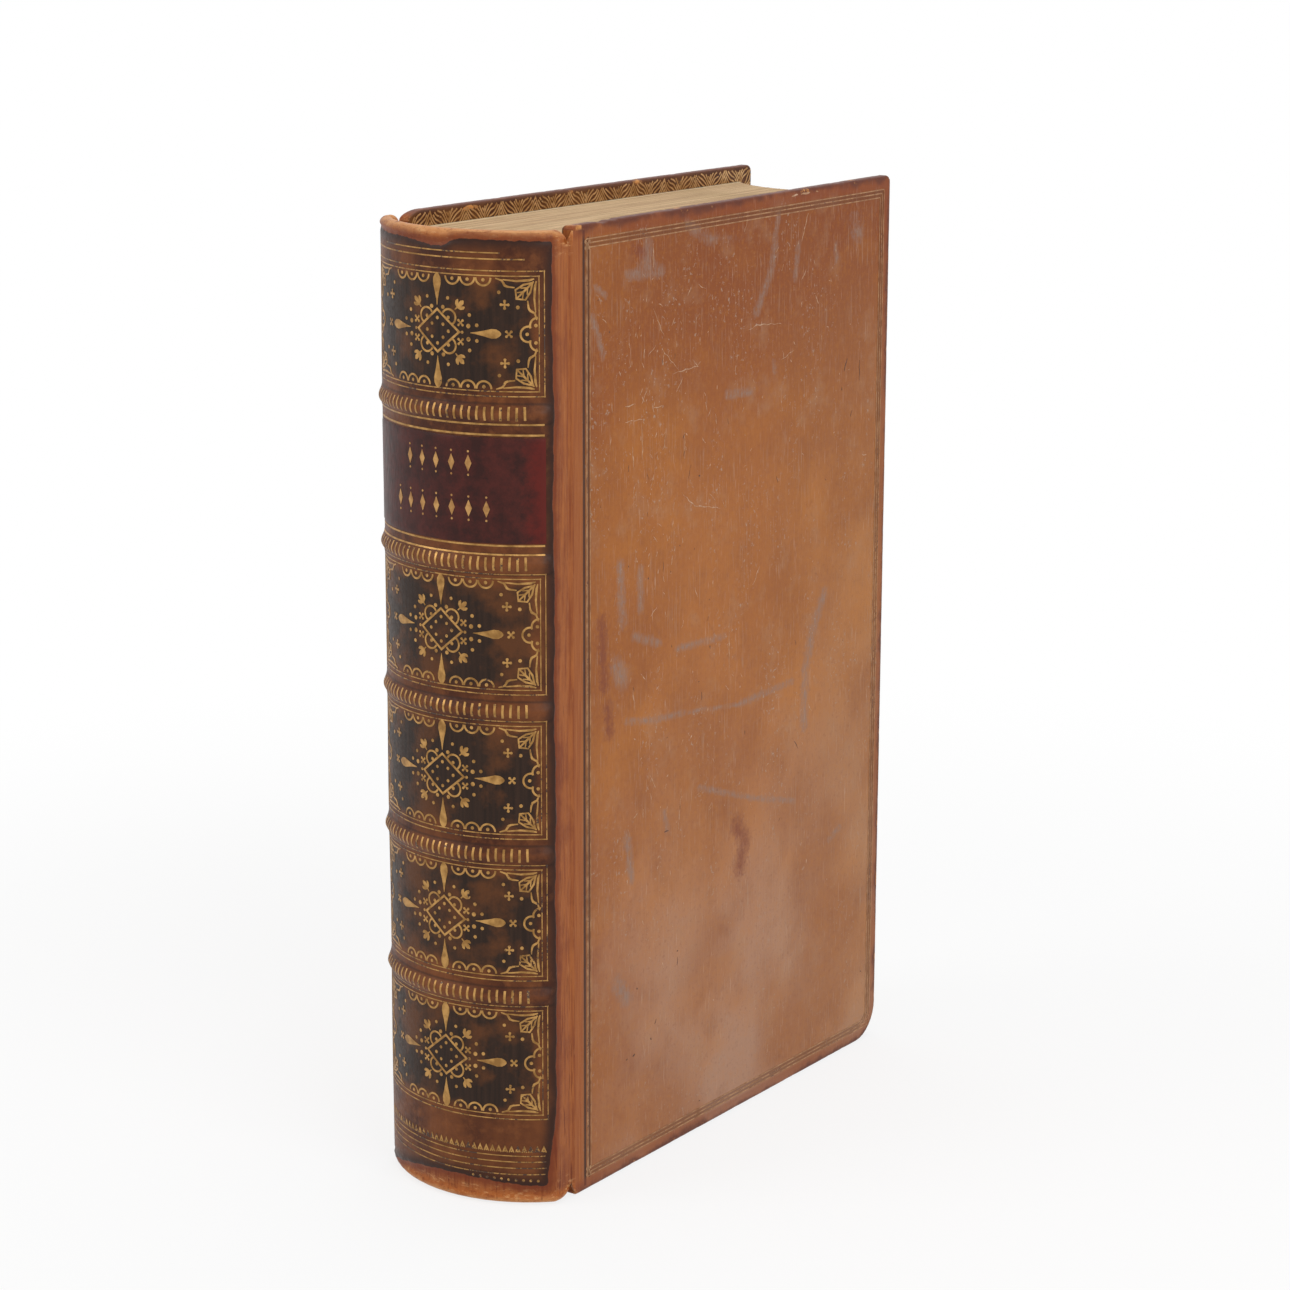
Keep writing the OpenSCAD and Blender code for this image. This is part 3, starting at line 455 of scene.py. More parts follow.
    # edges: reddened near them, dark with handling on them, worn through to orange in spots; the leather
    # turned in on the inside is darker brown, because light and hands never came there
    inner_dye = put(MIX, put(MAP, mottle, 0.42, 0.6), "#452614", "#66401E")
    handled = put(PLUS, put(PLUS, edge, put(TIMES, turned, 1.3)), put(TIMES, mottle, -7.0))
    handled = put(TIMES, put(SOFT_MAP, handled, -3.5, -1.3, 0.85, 0.0), put(MAP, across, 2.2, 5.0, 0.1))
    worn = put(TIMES, put(MAP, edge, 1.3, 0.6), put(MAP, mottle, 0.6, 0.66))
    for spot, size in (((-24.6, -40.2, 248.9), (3.0, 2.7, 0.6)), ((26.2, 41.0, 249.6), (2.0, 3.0, 1.1))):
        off = put(LENGTH, put(DIVIDE, put(AWAY, point, spot), size))
        worn = put(LARGER, worn, put(MAP, put(PLUS, off, fray), 1.1, 0.8))
    for share, tone in ((put(MAP, edge, 3.9, 2.6, 0.0, 0.5), "#843F20"), (put(TIMES, turned, 0.9), inner_dye),
                        (handled, "#562A1F"), (worn, "#C98A4C")):
        colour = put(MIX, share, colour, tone)
    gloss = put(PLUS, put(MAP, fine, 0.3, 0.7, 0.38, 0.52), put(TIMES, scuff, 0.3))
    grain = put(MINUS, put(PLUS, pores, put(PLUS, down, along)), hairs)
    wire(shader, Base_Color=colour, Roughness=gloss, Normal=put(BUMP, 0.25, 0.0001, grain))
    return material


def label_skiver():
    """Thin red skiver, dyed deep wine, darker where it was handled; the brighter red towards its front end is a
    painted light.
    """
    material, shader, put, point, _, (cloud, fine) = new_material(
        "red_skiver_label", (), ((4.5, 6.0, 0.7), ((0.5, 0.5, 3), 3.0)), IOR=1.45, Specular_IOR_Level=0.24)
    colour = put(MIX, put(MAP, cloud, 0.38, 0.62), "#31130F", "#4B1D17")
    # painted light: brighter red towards the front end of the label
    bright = put(PLUS, put(SPLIT, point), put(TIMES, cloud, 8.0))
    colour = put(MIX, put(MAP, bright, 25.6, 29.0, 0.0, 0.85), colour, "#5E170F")
    wire(shader, Base_Color=colour, Roughness=put(MAP, fine, 0.3, 0.7, 0.34, 0.5),
         Normal=put(BUMP, 0.3, 0.00008, fine))
    return material


def gold_leaf(name, bright, dull, ground, kept):
    """Gold leaf struck in with hot tools: a soft metal gloss, rubbed away to the leather in flecks.
    kept is the share of the leaf that is still there where nothing has rubbed it."""
    material, shader, put, _, (rub,), (flecks, patches, tone) = new_material(
        name, ("rub",), ((0.8, 4.0, 0.7), (6, 2.0), (2.2, 3.0)), Roughness=0.42)
    loss = put(PLUS, put(PLUS, flecks, put(TIMES, patches, 0.7)), put(TIMES, rub, 0.35))
    leaf = put(MAP, loss, 0.62 + 0.42 * kept, 0.56 + 0.42 * kept)
    gold = put(MIX, put(MAP, tone, 0.35, 0.65), dull, bright)
    wire(shader, Base_Color=put(MIX, leaf, ground, gold), Metallic=put(TIMES, leaf, 0.75),
         Normal=put(BUMP, 0.3, 0.00006, flecks))
    return material


def aged_leaves():
    """Trimmed edges of old rag paper: hundreds of leaves, each a hair line, browned from the outside in."""
    material, shader, put, point, (leaf,), (cloud,) = new_material(
        "aged_leaves", ("leaf",), ((20, 4.0),), Roughness=0.85, IOR=1.45)
    lines = []
    for count, detail, size in ((420.0, 2.0, 20), (150.0, 3.0, 45), (36.0, 3.0, 60)):
        flat = put(STRETCH, point, (0, 1 / size, 1 / size))
        sheet = put(JOIN, put(TIMES, leaf, count))
        lines.append(put(NOISE, put(SHIFT, flat, sheet), 1.0, detail, 0.6))
    colour = put(MIX, put(MAP, lines[1], 0.36, 0.62), "#AE8A64", "#DCBE94")
    ends = put(UNSIGNED, put(MINUS, leaf, 0.5))
    for noise, low, high, most, tone in (
            (lines[0], 0.5, 0.72, 0.65, "#785839"), (lines[2], 0.52, 0.7, 0.35, "#98795A"),
            (cloud, 0.5, 0.75, 0.4, "#9D8157"), (ends, 0.476, 0.482, 1.0, "#E6D3AC")):
        colour = put(MIX, put(MAP, noise, low, high, 0.0, most), colour, tone)
    wire(shader, Base_Color=colour, Normal=put(BUMP, 0.6, 0.00025, put(PLUS, lines[0], lines[1])))
    return material


def marbled_paper():
    """Hand-marbled endpaper: drops of colour drawn out on the size, in dulled reds, slate and ochre. Its cut
    edge is bare paper, but for the strips that bend in the inner joints."""
    material, shader, put, point, (bent,), _ = new_material(
        "marbled_endpaper", ("bent",), Roughness=0.55, IOR=1.45)
    flat = put(STRETCH, point, (0, 1, 1))
    drift = flat
    for size, far in ((30, 26.0), (1.6, 1.6)):
        drift = put(SHIFT, drift, put(SCALE, put(NOISE, flat, 1 / size, 3.0, out=1), far))
    veins = put(DROPS, drift, 1 / 4.2, feature="DISTANCE_TO_EDGE")
    tone = put(SPLIT, put(DROPS, drift, 1 / 4.2, out=1))
    stir = put(NOISE, drift, 1 / 2.4, 4.0)
    cut = put(MAP, put(UNSIGNED, put(SPLIT, put(PLACE, out=1))), 0.6, 0.4)
    colour = put(MIX, put(MAP, stir, 0.35, 0.65), "#5E2A26", "#7C3B30")
    for share, code in ((put(ABOVE, tone, 0.55), "#434B4D"), (put(ABOVE, tone, 0.78), "#7C5A3C"),
                        (put(ABOVE, tone, 0.92), "#575548"),
                        (put(MAP, put(DROPS, drift, 1 / 1.7), 0.26, 0.18, 0.0, 0.8), "#B49B70"),
                        (put(MAP, veins, 0.12, 0.02, 0.0, 0.75), "#AE9468"),
                        (put(MINUS, cut, bent, use_clamp=True), "#D3C09A")):
        colour = put(MIX, share, colour, code)
    wire(shader, Base_Color=colour, Roughness=put(MAP, stir, None, None, 0.45, 0.65))
    return material


def plain_material(name, code, spots, size, rough, depth):
    """A matt material with soft spots of a second tone, size mm across, and a relief of depth mm."""
    material, shader, put, _, _, (cloud,) = new_material(name, (), ((size, 4.0, 0.6),), Roughness=rough, IOR=1.45)
    wire(shader, Base_Color=put(MIX, put(MAP, cloud, 0.4, 0.65), code, spots),
         Normal=put(BUMP, 0.5, depth * 0.001, cloud))
    return material


def endband_silk():
    """Two silks wound in turn over the cord, old gold and faded crimson."""
    material, shader, put, _, (thread,), (fibre,) = new_material(
        "endband_silk", ("thread",), ((0.2, 2.0),), Roughness=0.6, IOR=1.5)
    colour = put(MIX, put(ABOVE, thread, 0.5), "#B99852", "#8C4238")
    wire(shader, Base_Color=put(MIX, put(MAP, fibre, 0.4, 0.7, 0.0, 0.4), colour, "#6E5638"))
    return material


calf_on_back = back_calf()
calf_on_covers = cover_calf()
skiver = label_skiver()
gold_on_back = gold_leaf("spine_gold", "#BE9154", "#8E6736", "#3F2616", 1.2)
gold_on_label = gold_leaf("label_gold", "#C0935A", "#94693C", "#3A1814", 1.2)
gold_on_covers = gold_leaf("fillet_gold", "#B98E66", "#8E6240", "#6B4228", 1.12)
gold_on_turn_ins = gold_leaf("turn_in_gold", "#D2A874", "#A87C4A", "#4E2E18", 1.2)
leaves = aged_leaves()
marbled = marbled_paper()
silk = endband_silk()
millboard = plain_material("millboard", "#7C6A50", "#8F7C60", 3.0, 0.9, 0.1)
hemp = plain_material("hemp_cord", "#A08A62", "#B8A178", 0.8, 0.85, 0.1)
lining = plain_material("linen_lining", "#CDBF9E", "#B9A883", 1.0, 0.9, 0.08)

# ---------------------------------------------------------------- leather on the back
END_S = S_HINGE - JOINT_REACH
NOTCH = 3.2              # the caps die away over this length at the joint
OFF = 9.0                # a mark's distance where there is none of it near


def back_section(s):
    """Closed section of the leather s mm round the back: outer face, head roll, inner face, tail roll."""
    grown = math.sqrt(max(0.0, 1 - (1 - min((END_S - abs(s)) / NOTCH, 1.0)) ** 2))
    r = CALF / 2 + (CAP_R - CALF / 2) * grown
    low = 0.4 + NOTCH * (1 - grown)
    high = HEIGHT - low
    outer = np.linspace(low + r, high - r, 430)
    wall = math.acos((r - CALF) / r)
    turn = np.linspace(0, 2 * math.pi - wall, 26)[1:]
    inner = np.linspace(high - r - r * math.sin(wall), low + r + r * math.sin(wall), 60)[1:-1]
    roll = -r + (r + np.cos(turn * 5 + 1.7 * s) * 0.04) * np.cos(turn)
    lift = np.concatenate([leather_lift(s, outer), roll, -CALF + 0 * inner, roll[::-1]])
    z = np.concatenate([outer, high - r + r * np.sin(turn), inner, (low + r - r * np.sin(turn))[::-1]])
    fold = 2.85 if S_ARC - 0.5 < abs(s) < S_SIDE + 0.5 else 9.0
    return np.maximum(lift, -fold), z


stations = np.unique(np.round(np.concatenate([
    np.linspace(-END_S, END_S, 93), np.linspace(29.4, END_S, 18), np.linspace(-END_S, -29.4, 18)]), 3))
sections = [back_section(s) for s in stations]
lifts, heights = (np.array([sec[i] for sec in sections]) for i in (0, 1))
rows, cols = lifts.shape
around = np.repeat(stations[:, None], cols, axis=1)
faces = quads(rows, cols, wrap=True) + [tuple(range(cols)), tuple(range((rows - 1) * cols, rows * cols))]
outside = lifts > -CALF * 0.9
marks = {"laid": np.where(outside, old_leather(around, heights), -6.0),
         "ground": np.where(outside, stained(around, heights), -6.0),
         "rise": band_rise(around, heights)}
back_leather = piece("back_leather_with_caps", on_back(around, heights, lifts), faces, [calf_on_back],
                     "book_block", marks=marks)
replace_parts(back_leather, "spine_leather")


def sleeve(rows, name, material, side, seam, **marks):
    """A strip that bends across a joint, from rows of points round it; every mark is the same all over."""
    ring = np.array(rows)
    count, n = ring.shape[:2]
    faces = quads(count, n) + [(k, k + 1, (count - 1) * n + k + 1, (count - 1) * n + k) for k in range(n - 1)]
    faces += [tuple(k * n + end for k in range(count)) for end in (0, n - 1)]
    return piece(SIDE_NAME[side] + name, ring, faces, [material],
                 seam=("book_block", SIDE_NAME[side] + "_cover", *(Vector(point) for point in seam)),
                 marks={key: np.full(count * n, value) for key, value in marks.items()})


# the calf across each joint: one strip that creases on the hinge line
for side in (1, -1):
    rows = []
    for u in np.linspace(-1, 1, 15):
        low = 3.6 + 0.3 * (1 + u) if u < 0 else 3.9 - (3.85 - JOINT_CORNER[side]) * u ** 0.7
        z = np.linspace(low, HEIGHT - low, 90)
        sunk = 0.1 * (1 - u * u) ** 2 - leather_lift(END_S, z) * (1 - smooth((u + 1) / 2))
        inner = CALF if u < 0 else CALF - 0.4 * u
        for deep in (sunk, inner):
            rows.append(on_back(side * (S_HINGE + u * JOINT_REACH), z, -deep) if u <= 0
                        else on_cover(side, u * JOINT_REACH, z, deep))
    middle, reach = on_back(side * S_HINGE, HEIGHT / 2, 0), np.array((0, JOINT_REACH * 0.001, 0))
    sleeve(rows[0::2] + rows[1::2][::-1], "_joint_calf", calf_on_back, side,
                   (middle - reach, middle + reach), laid=-4.0, ground=-OFF, rise=0.0)


# ---------------------------------------------------------------- covers
def outline(inset, side, arc=9, straight=(110, 180, 110)):
    """Points along head, fore-edge and tail of a cover, drawn in by inset, from joint to joint."""
    long = 1.0 if side > 0 else 2.8          # the back cover's worn joint corners are longer than high
    joint, head, tail = (max(r, inset) for r in (JOINT_CORNER[side], HEAD_CORNER, TAIL_CORNER[side]))
    near = JOINT_REACH + long * (joint - inset)
    path = []
    bends = ((near, HEIGHT - joint, joint, 180), (DEPTH - head, HEIGHT - head, head, 90),
             (DEPTH - tail, tail, tail, 0), (near, joint, joint, -90))
    for k, (cy, cz, r, start) in enumerate(bends):
        turn = np.radians(np.linspace(start, start - 90, arc))
        r -= inset
        bend = np.stack([cy + (long if k in (0, 3) else 1.0) * r * np.cos(turn), cz + r * np.sin(turn)], axis=1)
        if path:
            path.append(np.linspace(path[-1][-1], bend[0], straight[k - 1] + 1)[1:-1])
        path.append(bend)
    return np.concatenate(path)


def cover_leather(side):
    """Calf over a board: outer face, soft edges, turned in on the inside, as one closed shell."""
    r, thick, turned = 0.8, 0.5, 0.4         # round of the edges, leather outside and turned in
    bend = np.radians(np.linspace(0, 90, 6))
    out_in, out_deep = [TURN_IN, 6.0, 2.0], [COVER] * 3
    out_in += list(r - r * np.sin(bend)) + list((r - r * np.cos(bend)))
    out_deep += list(COVER - r + r * np.cos(bend)) + list(r - r * np.sin(bend))
    out_in += [1.3, 2.0, 3.0, 4.0, 6.0, 9.0, 14.0]
    out_deep += [0.0] * 7
    in_in = [max(v, thick) for v in out_in]
    in_deep = [min(max(v, thick), COVER - turned) for v in out_deep]
    shells = []
    for insets, deeps in ((out_in, out_deep), (in_in, in_deep)):
        grid = []
        for k, (inset, deep) in enumerate(zip(insets, deeps)):
            line = outline(inset, side)
            way = np.arange(len(line))
            dent = ripple((0.07, 0.31 * way + 2 * side), (0.05, 0.83 * way), (0.05, 2.1 * way + k * 0.2))
            worn = 0.5 + 0.5 * np.clip(dent * 8, -1, 1)
            shift = np.where(inset < 2.5, dent * worn * 0.6 - 0.03, 0.0) * (1 - inset / 2.5)
            centre = np.array([DEPTH / 2, HEIGHT / 2])
            pull = np.sign(centre - line) * (np.abs(line - centre) > centre - inset - 1.0)
            line = line + pull * np.clip(shift, -0.12, 0.1)[:, None]
            nick = 0.45 * np.exp(-((line[:, 0] - 14.5) / 1.6) ** 2) + 0.3 * np.exp(-((line[:, 0] - 19) / 0.9) ** 2)
            line[:, 1] -= nick * (line[:, 1] > HEIGHT - 2) * (1 - min(inset / 2.5, 1)) * (side > 0)
            line[:, 0] = np.maximum(line[:, 0], JOINT_REACH)
            grid.append(np.stack([*line.T, np.full(len(line), deep)], axis=1))
        shells.append(np.array(grid).transpose(1, 0, 2))
    n, m = shells[0].shape[:2]
    b = n * m                                # the inner shell's first point
    faces = quads(n, m) + quads(n, m, b) + [(k * m, (k + 1) * m, b + (k + 1) * m, b + k * m) for k in range(n - 1)]
    for end in (0, b - m):
        faces += [(end + j, end + j + 1, b + end + j + 1, b + end + j) for j in range(m - 1)]
    faces += [tuple(b + k * m + m - 1 for k in range(n)), (m - 1, b - 1, 2 * b - 1, b + m - 1)]
    flat_y, flat_z = np.meshgrid(np.linspace(JOINT_REACH, DEPTH - out_in[-1], 111),
                                 np.linspace(HEIGHT - out_in[-1], out_in[-1], 181), indexing="ij")
    faces += quads(*flat_y.shape, 2 * b)
    places = np.concatenate([s.reshape(-1, 3) for s in shells]
                            + [np.stack([flat_y.ravel(), flat_z.ravel(), 0 * flat_y.ravel()], axis=1)])
    depth_of = np.array(out_in)
    depth_of[:3] = (6.0, 4.0, 1.8)
    edge = np.concatenate([np.tile(depth_of, 2 * n), np.full(flat_y.size, out_in[-1])])
    y, z = places[:, 0], places[:, 1]
    if side < 0:                             # the back cover has the front one's marks turned round
        y, z = DEPTH + 1.5 - y, HEIGHT - z
    inside = smooth((places[:, 2] - 2.4) / 0.8)
    made = piece(SIDE_NAME[side] + "_cover_leather", on_cover(side, *places.T), faces, [calf_on_covers],
                 SIDE_NAME[side] + "_cover",
                 marks={"edge": edge, "turned": inside, "scuffed": nearest_mark(y, z, SCUFFS) + 9 * inside,
                        "stained": nearest_mark(y, z, STAINS) + 9 * inside})
    return made


def board(side):
    """The millboard inside a cover's leather."""
    line = outline(0.55, side, 6, (2, 2, 2))
    line[:, 0] = np.maximum(line[:, 0], JOINT_REACH + 0.32)
    n = len(line)
    points = np.concatenate([on_cover(side, line[:, 0], line[:, 1], deep) for deep in (0.55, 2.85)])
    faces = [tuple(range(n)), tuple(range(n, 2 * n))]
    faces += [(k, (k + 1) % n, n + (k + 1) % n, n + k) for k in range(n)]
    made = piece(SIDE_NAME[side] + "_millboard", points, faces, [millboard], SIDE_NAME[side] + "_cover",
                 smooth_over=30)
    return made


for side in (1, -1):
    name = SIDE_NAME[side]
    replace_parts(cover_leather(side), name + "_leather")
    edge_y = np.array([JOINT_REACH + 0.01, JOINT_REACH + 0.01, JOINT_REACH + 0.3, JOINT_REACH + 0.3])
    edge_deep = np.array([0.4, COVER - 0.25, COVER - 0.25, 0.4])
    end = JOINT_CORNER[side] + 0.05
    facing = np.concatenate([on_cover(side, edge_y, z, edge_deep) for z in np.linspace(end, HEIGHT - end, 12)])
    facing = piece(name + "_joint_edge_calf", facing, quads(12, 4, wrap=True) + [(0, 1, 2, 3), (44, 45, 46, 47)],
                   [calf_on_covers], name + "_cover", smooth_over=30,
                   marks={"edge": np.full(48, OFF), "turned": np.zeros(48), "scuffed": np.full(48, OFF),
                          "stained": np.full(48, OFF)})
    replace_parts(board(side), name + "_board")


# ---------------------------------------------------------------- leaves
def leaf_block():
    """The block of leaves as a grid: across the thickness leaf by leaf, and back from the fore-edge."""
    inner = HALF - COVER - 0.4
    fore = DEPTH - 6.5
    across = np.linspace(0, 1, 181)
    # plan of each leaf: where it starts at the back and where it ends at the fore-edge
    x_back = (across - 0.5) * 2 * (HALF - 1.5)
    y_back = np.where(np.abs(x_back) < 24.2, BACK_CY - np.sqrt(np.clip((BACK_R - 1.5) ** 2 - x_back ** 2, 1, None)),
                      -4.2)
    front, rear = inner - fore * math.tan(LEAN[1]), -inner + fore * math.tan(LEAN[-1])
    x_fore = rear + (front - rear) * across
    hollow_r = ((front - rear) ** 2 / 4 + 64.0) / 16.0
    middle = (front + rear) / 2
    y_fore = fore - 8.0 + hollow_r - np.sqrt(np.clip(hollow_r ** 2 - (x_fore - middle) ** 2, 0, None))
    y_fore = y_fore + ripple((0.1, 190 * across), (0.08, 410 * across + 1), (0.07, 77 * across))
    along = np.linspace(0, 1, 42) ** 0.8
    step = ripple((0.07, 55 * across + 1), (0.06, 133 * across), (0.05, 301 * across + 2))
    straight = -inner + 2 * inner * across
    top, foot = [], []
    for part in along:
        y = y_back + (y_fore - y_back) * part
        knee = smooth((y + 4.5) / 5.0)
        x_mid = straight + (x_fore - straight) * np.clip(y / fore, 0, 1)
        rough = step * (0.6 + 0.4 * math.sin(3 * part + 2))
        for end, z in ((top, BLOCK_HI - 0.12), (foot, BLOCK_LO + 0.12)):
            end.append(to_row(x_back * (1 - knee) + x_mid * knee, y, z + rough))
    top, foot = np.array(top), np.array(foot)
    points, faces, leaf_mark = [], [], []

    def sheet(grid, mark):
        start = sum(len(p) for p in points)
        points.append(grid.reshape(-1, 3))
        leaf_mark.append(np.broadcast_to(mark, grid.shape[:2]).ravel())
        faces.extend(quads(*grid.shape[:2], start))

    sheet(top, across)
    sheet(foot, across)
    up = np.linspace(0, 1, 24)[:, None, None]
    for row in (0, -1):
        sheet(top[row] * up + foot[row] * (1 - up), across)
    for col in (0, -1):
        sheet(top[:, col] * up + foot[:, col] * (1 - up), across[col])
    made = piece("leaves", np.concatenate(points), faces, [leaves], "book_block", smooth_over=50,
                 marks={"leaf": np.concatenate(leaf_mark)})
    return made


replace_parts(leaf_block(), "text_block")


# ---------------------------------------------------------------- endbands
def worked_endband(name, z):
    """Silk wound thread by thread over a cord, following the round of the back."""
    turns, ring, reach = 150, 10, 25.5
    s, angle = np.meshgrid(np.linspace(-reach, reach, turns * 4 + 1),
                           np.linspace(0, 2 * math.pi, ring, endpoint=False), indexing="ij")
    turn = turns * (s + reach) / (2 * reach)
    r = 0.85 + 0.22 * np.sqrt(np.abs(np.sin(math.pi * turn - 0.2 * angle)))
    r[[0, -1]] = 0.3
    lift = -(2 * CAP_R + 0.1 + 1.15) + r * np.cos(angle)
    points = on_back(s, z + r * np.sin(angle), lift)
    faces = quads(len(s), ring, wrap=True) + [tuple(range(ring)), tuple(range(s.size - ring, s.size))]
    made = piece(name, points, faces, [silk], "book_block", smooth_over=60,
                 marks={"thread": np.floor(turn / 3) % 2})
    return made


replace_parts(worked_endband("worked_head_endband", BLOCK_HI + 1.15), "head_endband")
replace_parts(worked_endband("worked_tail_endband", BLOCK_LO - 1.15), "tail_endband")

# ---------------------------------------------------------------- the finisher's tools
LIFT, LEAF, BITE = 0.015, 0.06, 0.03     # gold over the leather, thickness of the gold, depth into the leather


def unit(v):
    return v / np.maximum(np.hypot(v[:, 0], v[:, 1]), 1e-9)[:, None]


def stroke(points, widths, step=1.1):
    """A flat strip of gold along a line, as closed solid quads: (points, faces)."""
    points = np.asarray(points, float)
    widths = np.broadcast_to(np.asarray(widths, float), (len(points),))
    fine_p, fine_w = [points[0]], [widths[0]]
    for p, q, u, v in zip(points[:-1], points[1:], widths[:-1], widths[1:]):
        count = max(1, int(math.ceil(np.hypot(*(q - p)) / step)))
        for k in range(1, count + 1):
            fine_p.append(p + (q - p) * k / count)
            fine_w.append(u + (v - u) * k / count)
    p, w = np.array(fine_p), np.array(fine_w)
    closed = np.hypot(*(p[0] - p[-1])) < 1e-9
    if closed:
        p, w = p[:-1], w[:-1]
        before, after = p - np.roll(p, 1, 0), np.roll(p, -1, 0) - p
    else:
        steps = np.diff(p, axis=0)
        before, after = np.concatenate([steps[:1], steps]), np.concatenate([steps, steps[-1:]])
    before, after = unit(before), unit(after)
    way = unit(before + after)
    mitre = 1 / np.clip(np.sum(way * before, axis=1), 0.5, 1)
    normal = np.stack([-way[:, 1], way[:, 0]], axis=1) * (w / 2 * mitre)[:, None]
    n = len(p)
    verts = np.column_stack([np.concatenate([p + normal, p - normal] * 2),
                             np.repeat([LIFT + LEAF, LIFT + LEAF, -BITE, -BITE], n)])
    faces = []
    for k in range(n if closed else n - 1):
        m = (k + 1) % n
        faces += [(k, m, n + m, n + k), (2 * n + k, 3 * n + k, 3 * n + m, 2 * n + m),
                  (k, 2 * n + k, 2 * n + m, m), (n + k, n + m, 3 * n + m, 3 * n + k)]
    if not closed:
        faces += [(0, n, 3 * n, 2 * n), (n - 1, 2 * n - 1, 4 * n - 1, 3 * n - 1)]
    return verts, faces


def blob(x, y, radius, sides=9, lobes=0, depth=0.0, turn=0.0):
    """A filled dot, or one with lobes like a small leaf."""
    a = np.linspace(0, 2 * math.pi, sides, endpoint=False)
    r = radius * (1 + depth * np.cos(lobes * a))
    flat = np.column_stack([x + r * np.cos(a + turn), y + r * np.sin(a + turn)])
    verts = np.column_stack([np.tile(flat, (2, 1)), np.repeat([LIFT + LEAF, -BITE], sides)])
    faces = [tuple(range(sides)), tuple(range(2 * sides - 1, sides - 1, -1))]
    faces += [(k, sides + k, sides + (k + 1) % sides, (k + 1) % sides) for k in range(sides)]
    return verts, faces


def arc(x, y, radius, start, stop, width=0.5, count=14):
    a = np.radians(np.linspace(start, stop, count))
    return stroke(np.column_stack([x + radius * np.cos(a), y + radius * np.sin(a)]), width, 9)


def petals(size, width):
    """Four petals round a middle, as a small cross."""
    shapes = [blob(0, 0, width * 0.5, 6)]
    for turn in (0, 90, 180, 270):
        c, s = math.cos(math.radians(turn)), math.sin(math.radians(turn))
        shapes.append(stroke([(out * c, out * s) for out in (0.1, size * 0.35, size * 0.8, size)],
                             [width * 0.5, width * 0.55, width, width * 0.45], 9))
    return shapes


def corner_leaf():
    """Veined leaf in a panel's corner, with a jagged bracket on each side; its corner is the origin."""
    shapes = [stroke([(-1.2, -1.2), (-3.4, -1.7), (-5.3, -2.9), (-5.1, -5.1), (-2.9, -5.3), (-1.7, -3.4),
                      (-1.2, -1.2)], [0.4, 0.5, 0.4, 0.4, 0.4, 0.5, 0.4]),
              stroke([(-5.1, -5.1), (-3.2, -3.2), (-0.9, -0.9)], [0.35, 0.55, 0.4])]
    for way in (1, -1):                      # a vein or bracket on one side, then the same on the other
        for points, widths in (
                ([(-2.4, -2.4), (-4.1, -2.5)], [0.4, 0.25]), ([(-3.4, -3.4), (-5.0, -3.6)], [0.4, 0.25]),
                ([(-10.2, -0.2), (-8.6, -0.7), (-7.9, -1.9), (-7.2, -2.2), (-5.5, -2.4)], [0.3, 0.5, 0.6, 0.5, 0.3]),
                ([(-8.4, -0.5), (-5.0, -0.8), (-2.0, -0.6), (-0.8, -0.3)], [0.3, 0.5, 0.6, 0.3])):
            shapes.append(stroke([point[::way] for point in points], widths))
    return shapes


TOOLS = {
    "dot": [blob(0, 0, 0.5)],
    "scallop": [arc(0, 0, 1.9, 180, 360), blob(0, -0.55, 0.45)],
    "drop": [stroke([(0, 0), (1.6, 0), (3.4, 0), (5.4, 0), (6.6, 0), (7.4, 0), (7.8, 0)],
                    [0.12, 0.6, 1.35, 2.35, 2.2, 1.3, 0.4])],
    "lozenge": [stroke([(6.2, 0), (0, 5.2), (-6.2, 0), (0, -5.2), (6.2, 0)], 0.55)],
    "lobe": [arc(0, 0, 1.95, -62, 152), blob(-0.1, -0.1, 0.45)],
    "sprig": [stroke([(-1.8, 0.1), (-0.6, 0.0), (0.1, 0.0), (0.9, 0.0), (1.5, 0.0)], [0.25, 0.45, 1.1, 1.15, 0.35])]
             + [stroke([(-0.9, 0.1 * u), (-0.4, 0.75 * u), (0.15, 1.15 * u), (0.65, 1.3 * u)], [0.3, 0.85, 0.8, 0.25])
                for u in (-1, 1)],
    "cross": petals(1.15, 0.72),
    "corner": corner_leaf(),
    "cluster": [arc(0, 2.1, 1.9, 90, 200), arc(0, -2.1, 1.9, 160, 270), arc(-2.3, 0, 1.9, 75, 285),
                blob(-0.5, 2.1, 0.45), blob(-0.5, -2.1, 0.45), blob(-2.6, 0, 0.45)],
    "tick": [stroke([(0, y) for y in np.linspace(-1.75, 1.75, 9)], 0.62)],
    "tooth": [stroke([(-0.75, 0), (0, 1.75), (0.75, 0)], [0.35, 0.6, 0.35]), blob(0, 0.35, 0.3, 6)],
    "bead": [blob(0, 0, 0.42, 7)],
    "diamond": [stroke([(0, -2.0), (0, -1.0), (0, 0), (0, 1.0), (0, 2.0)], [0.1, 0.95, 1.8, 0.95, 0.1]),
                blob(0, 2.9, 0.3, 7), blob(0, -2.9, 0.3, 7)],
    "rosette": [blob(0, 0, 0.5, 8)] + [blob(0.95 * math.cos(a), 0.95 * math.sin(a), 0.42, 7)
                                       for a in np.radians(np.arange(45, 405, 90))],
}
ORDER = sorted(TOOLS)


def join(shapes):
    points, faces, start = [], [], 0
    for verts, polys in shapes:
        points.append(verts)
        faces += [tuple(start + i for i in poly) for poly in polys]
        start += len(verts)
    return np.concatenate(points), faces


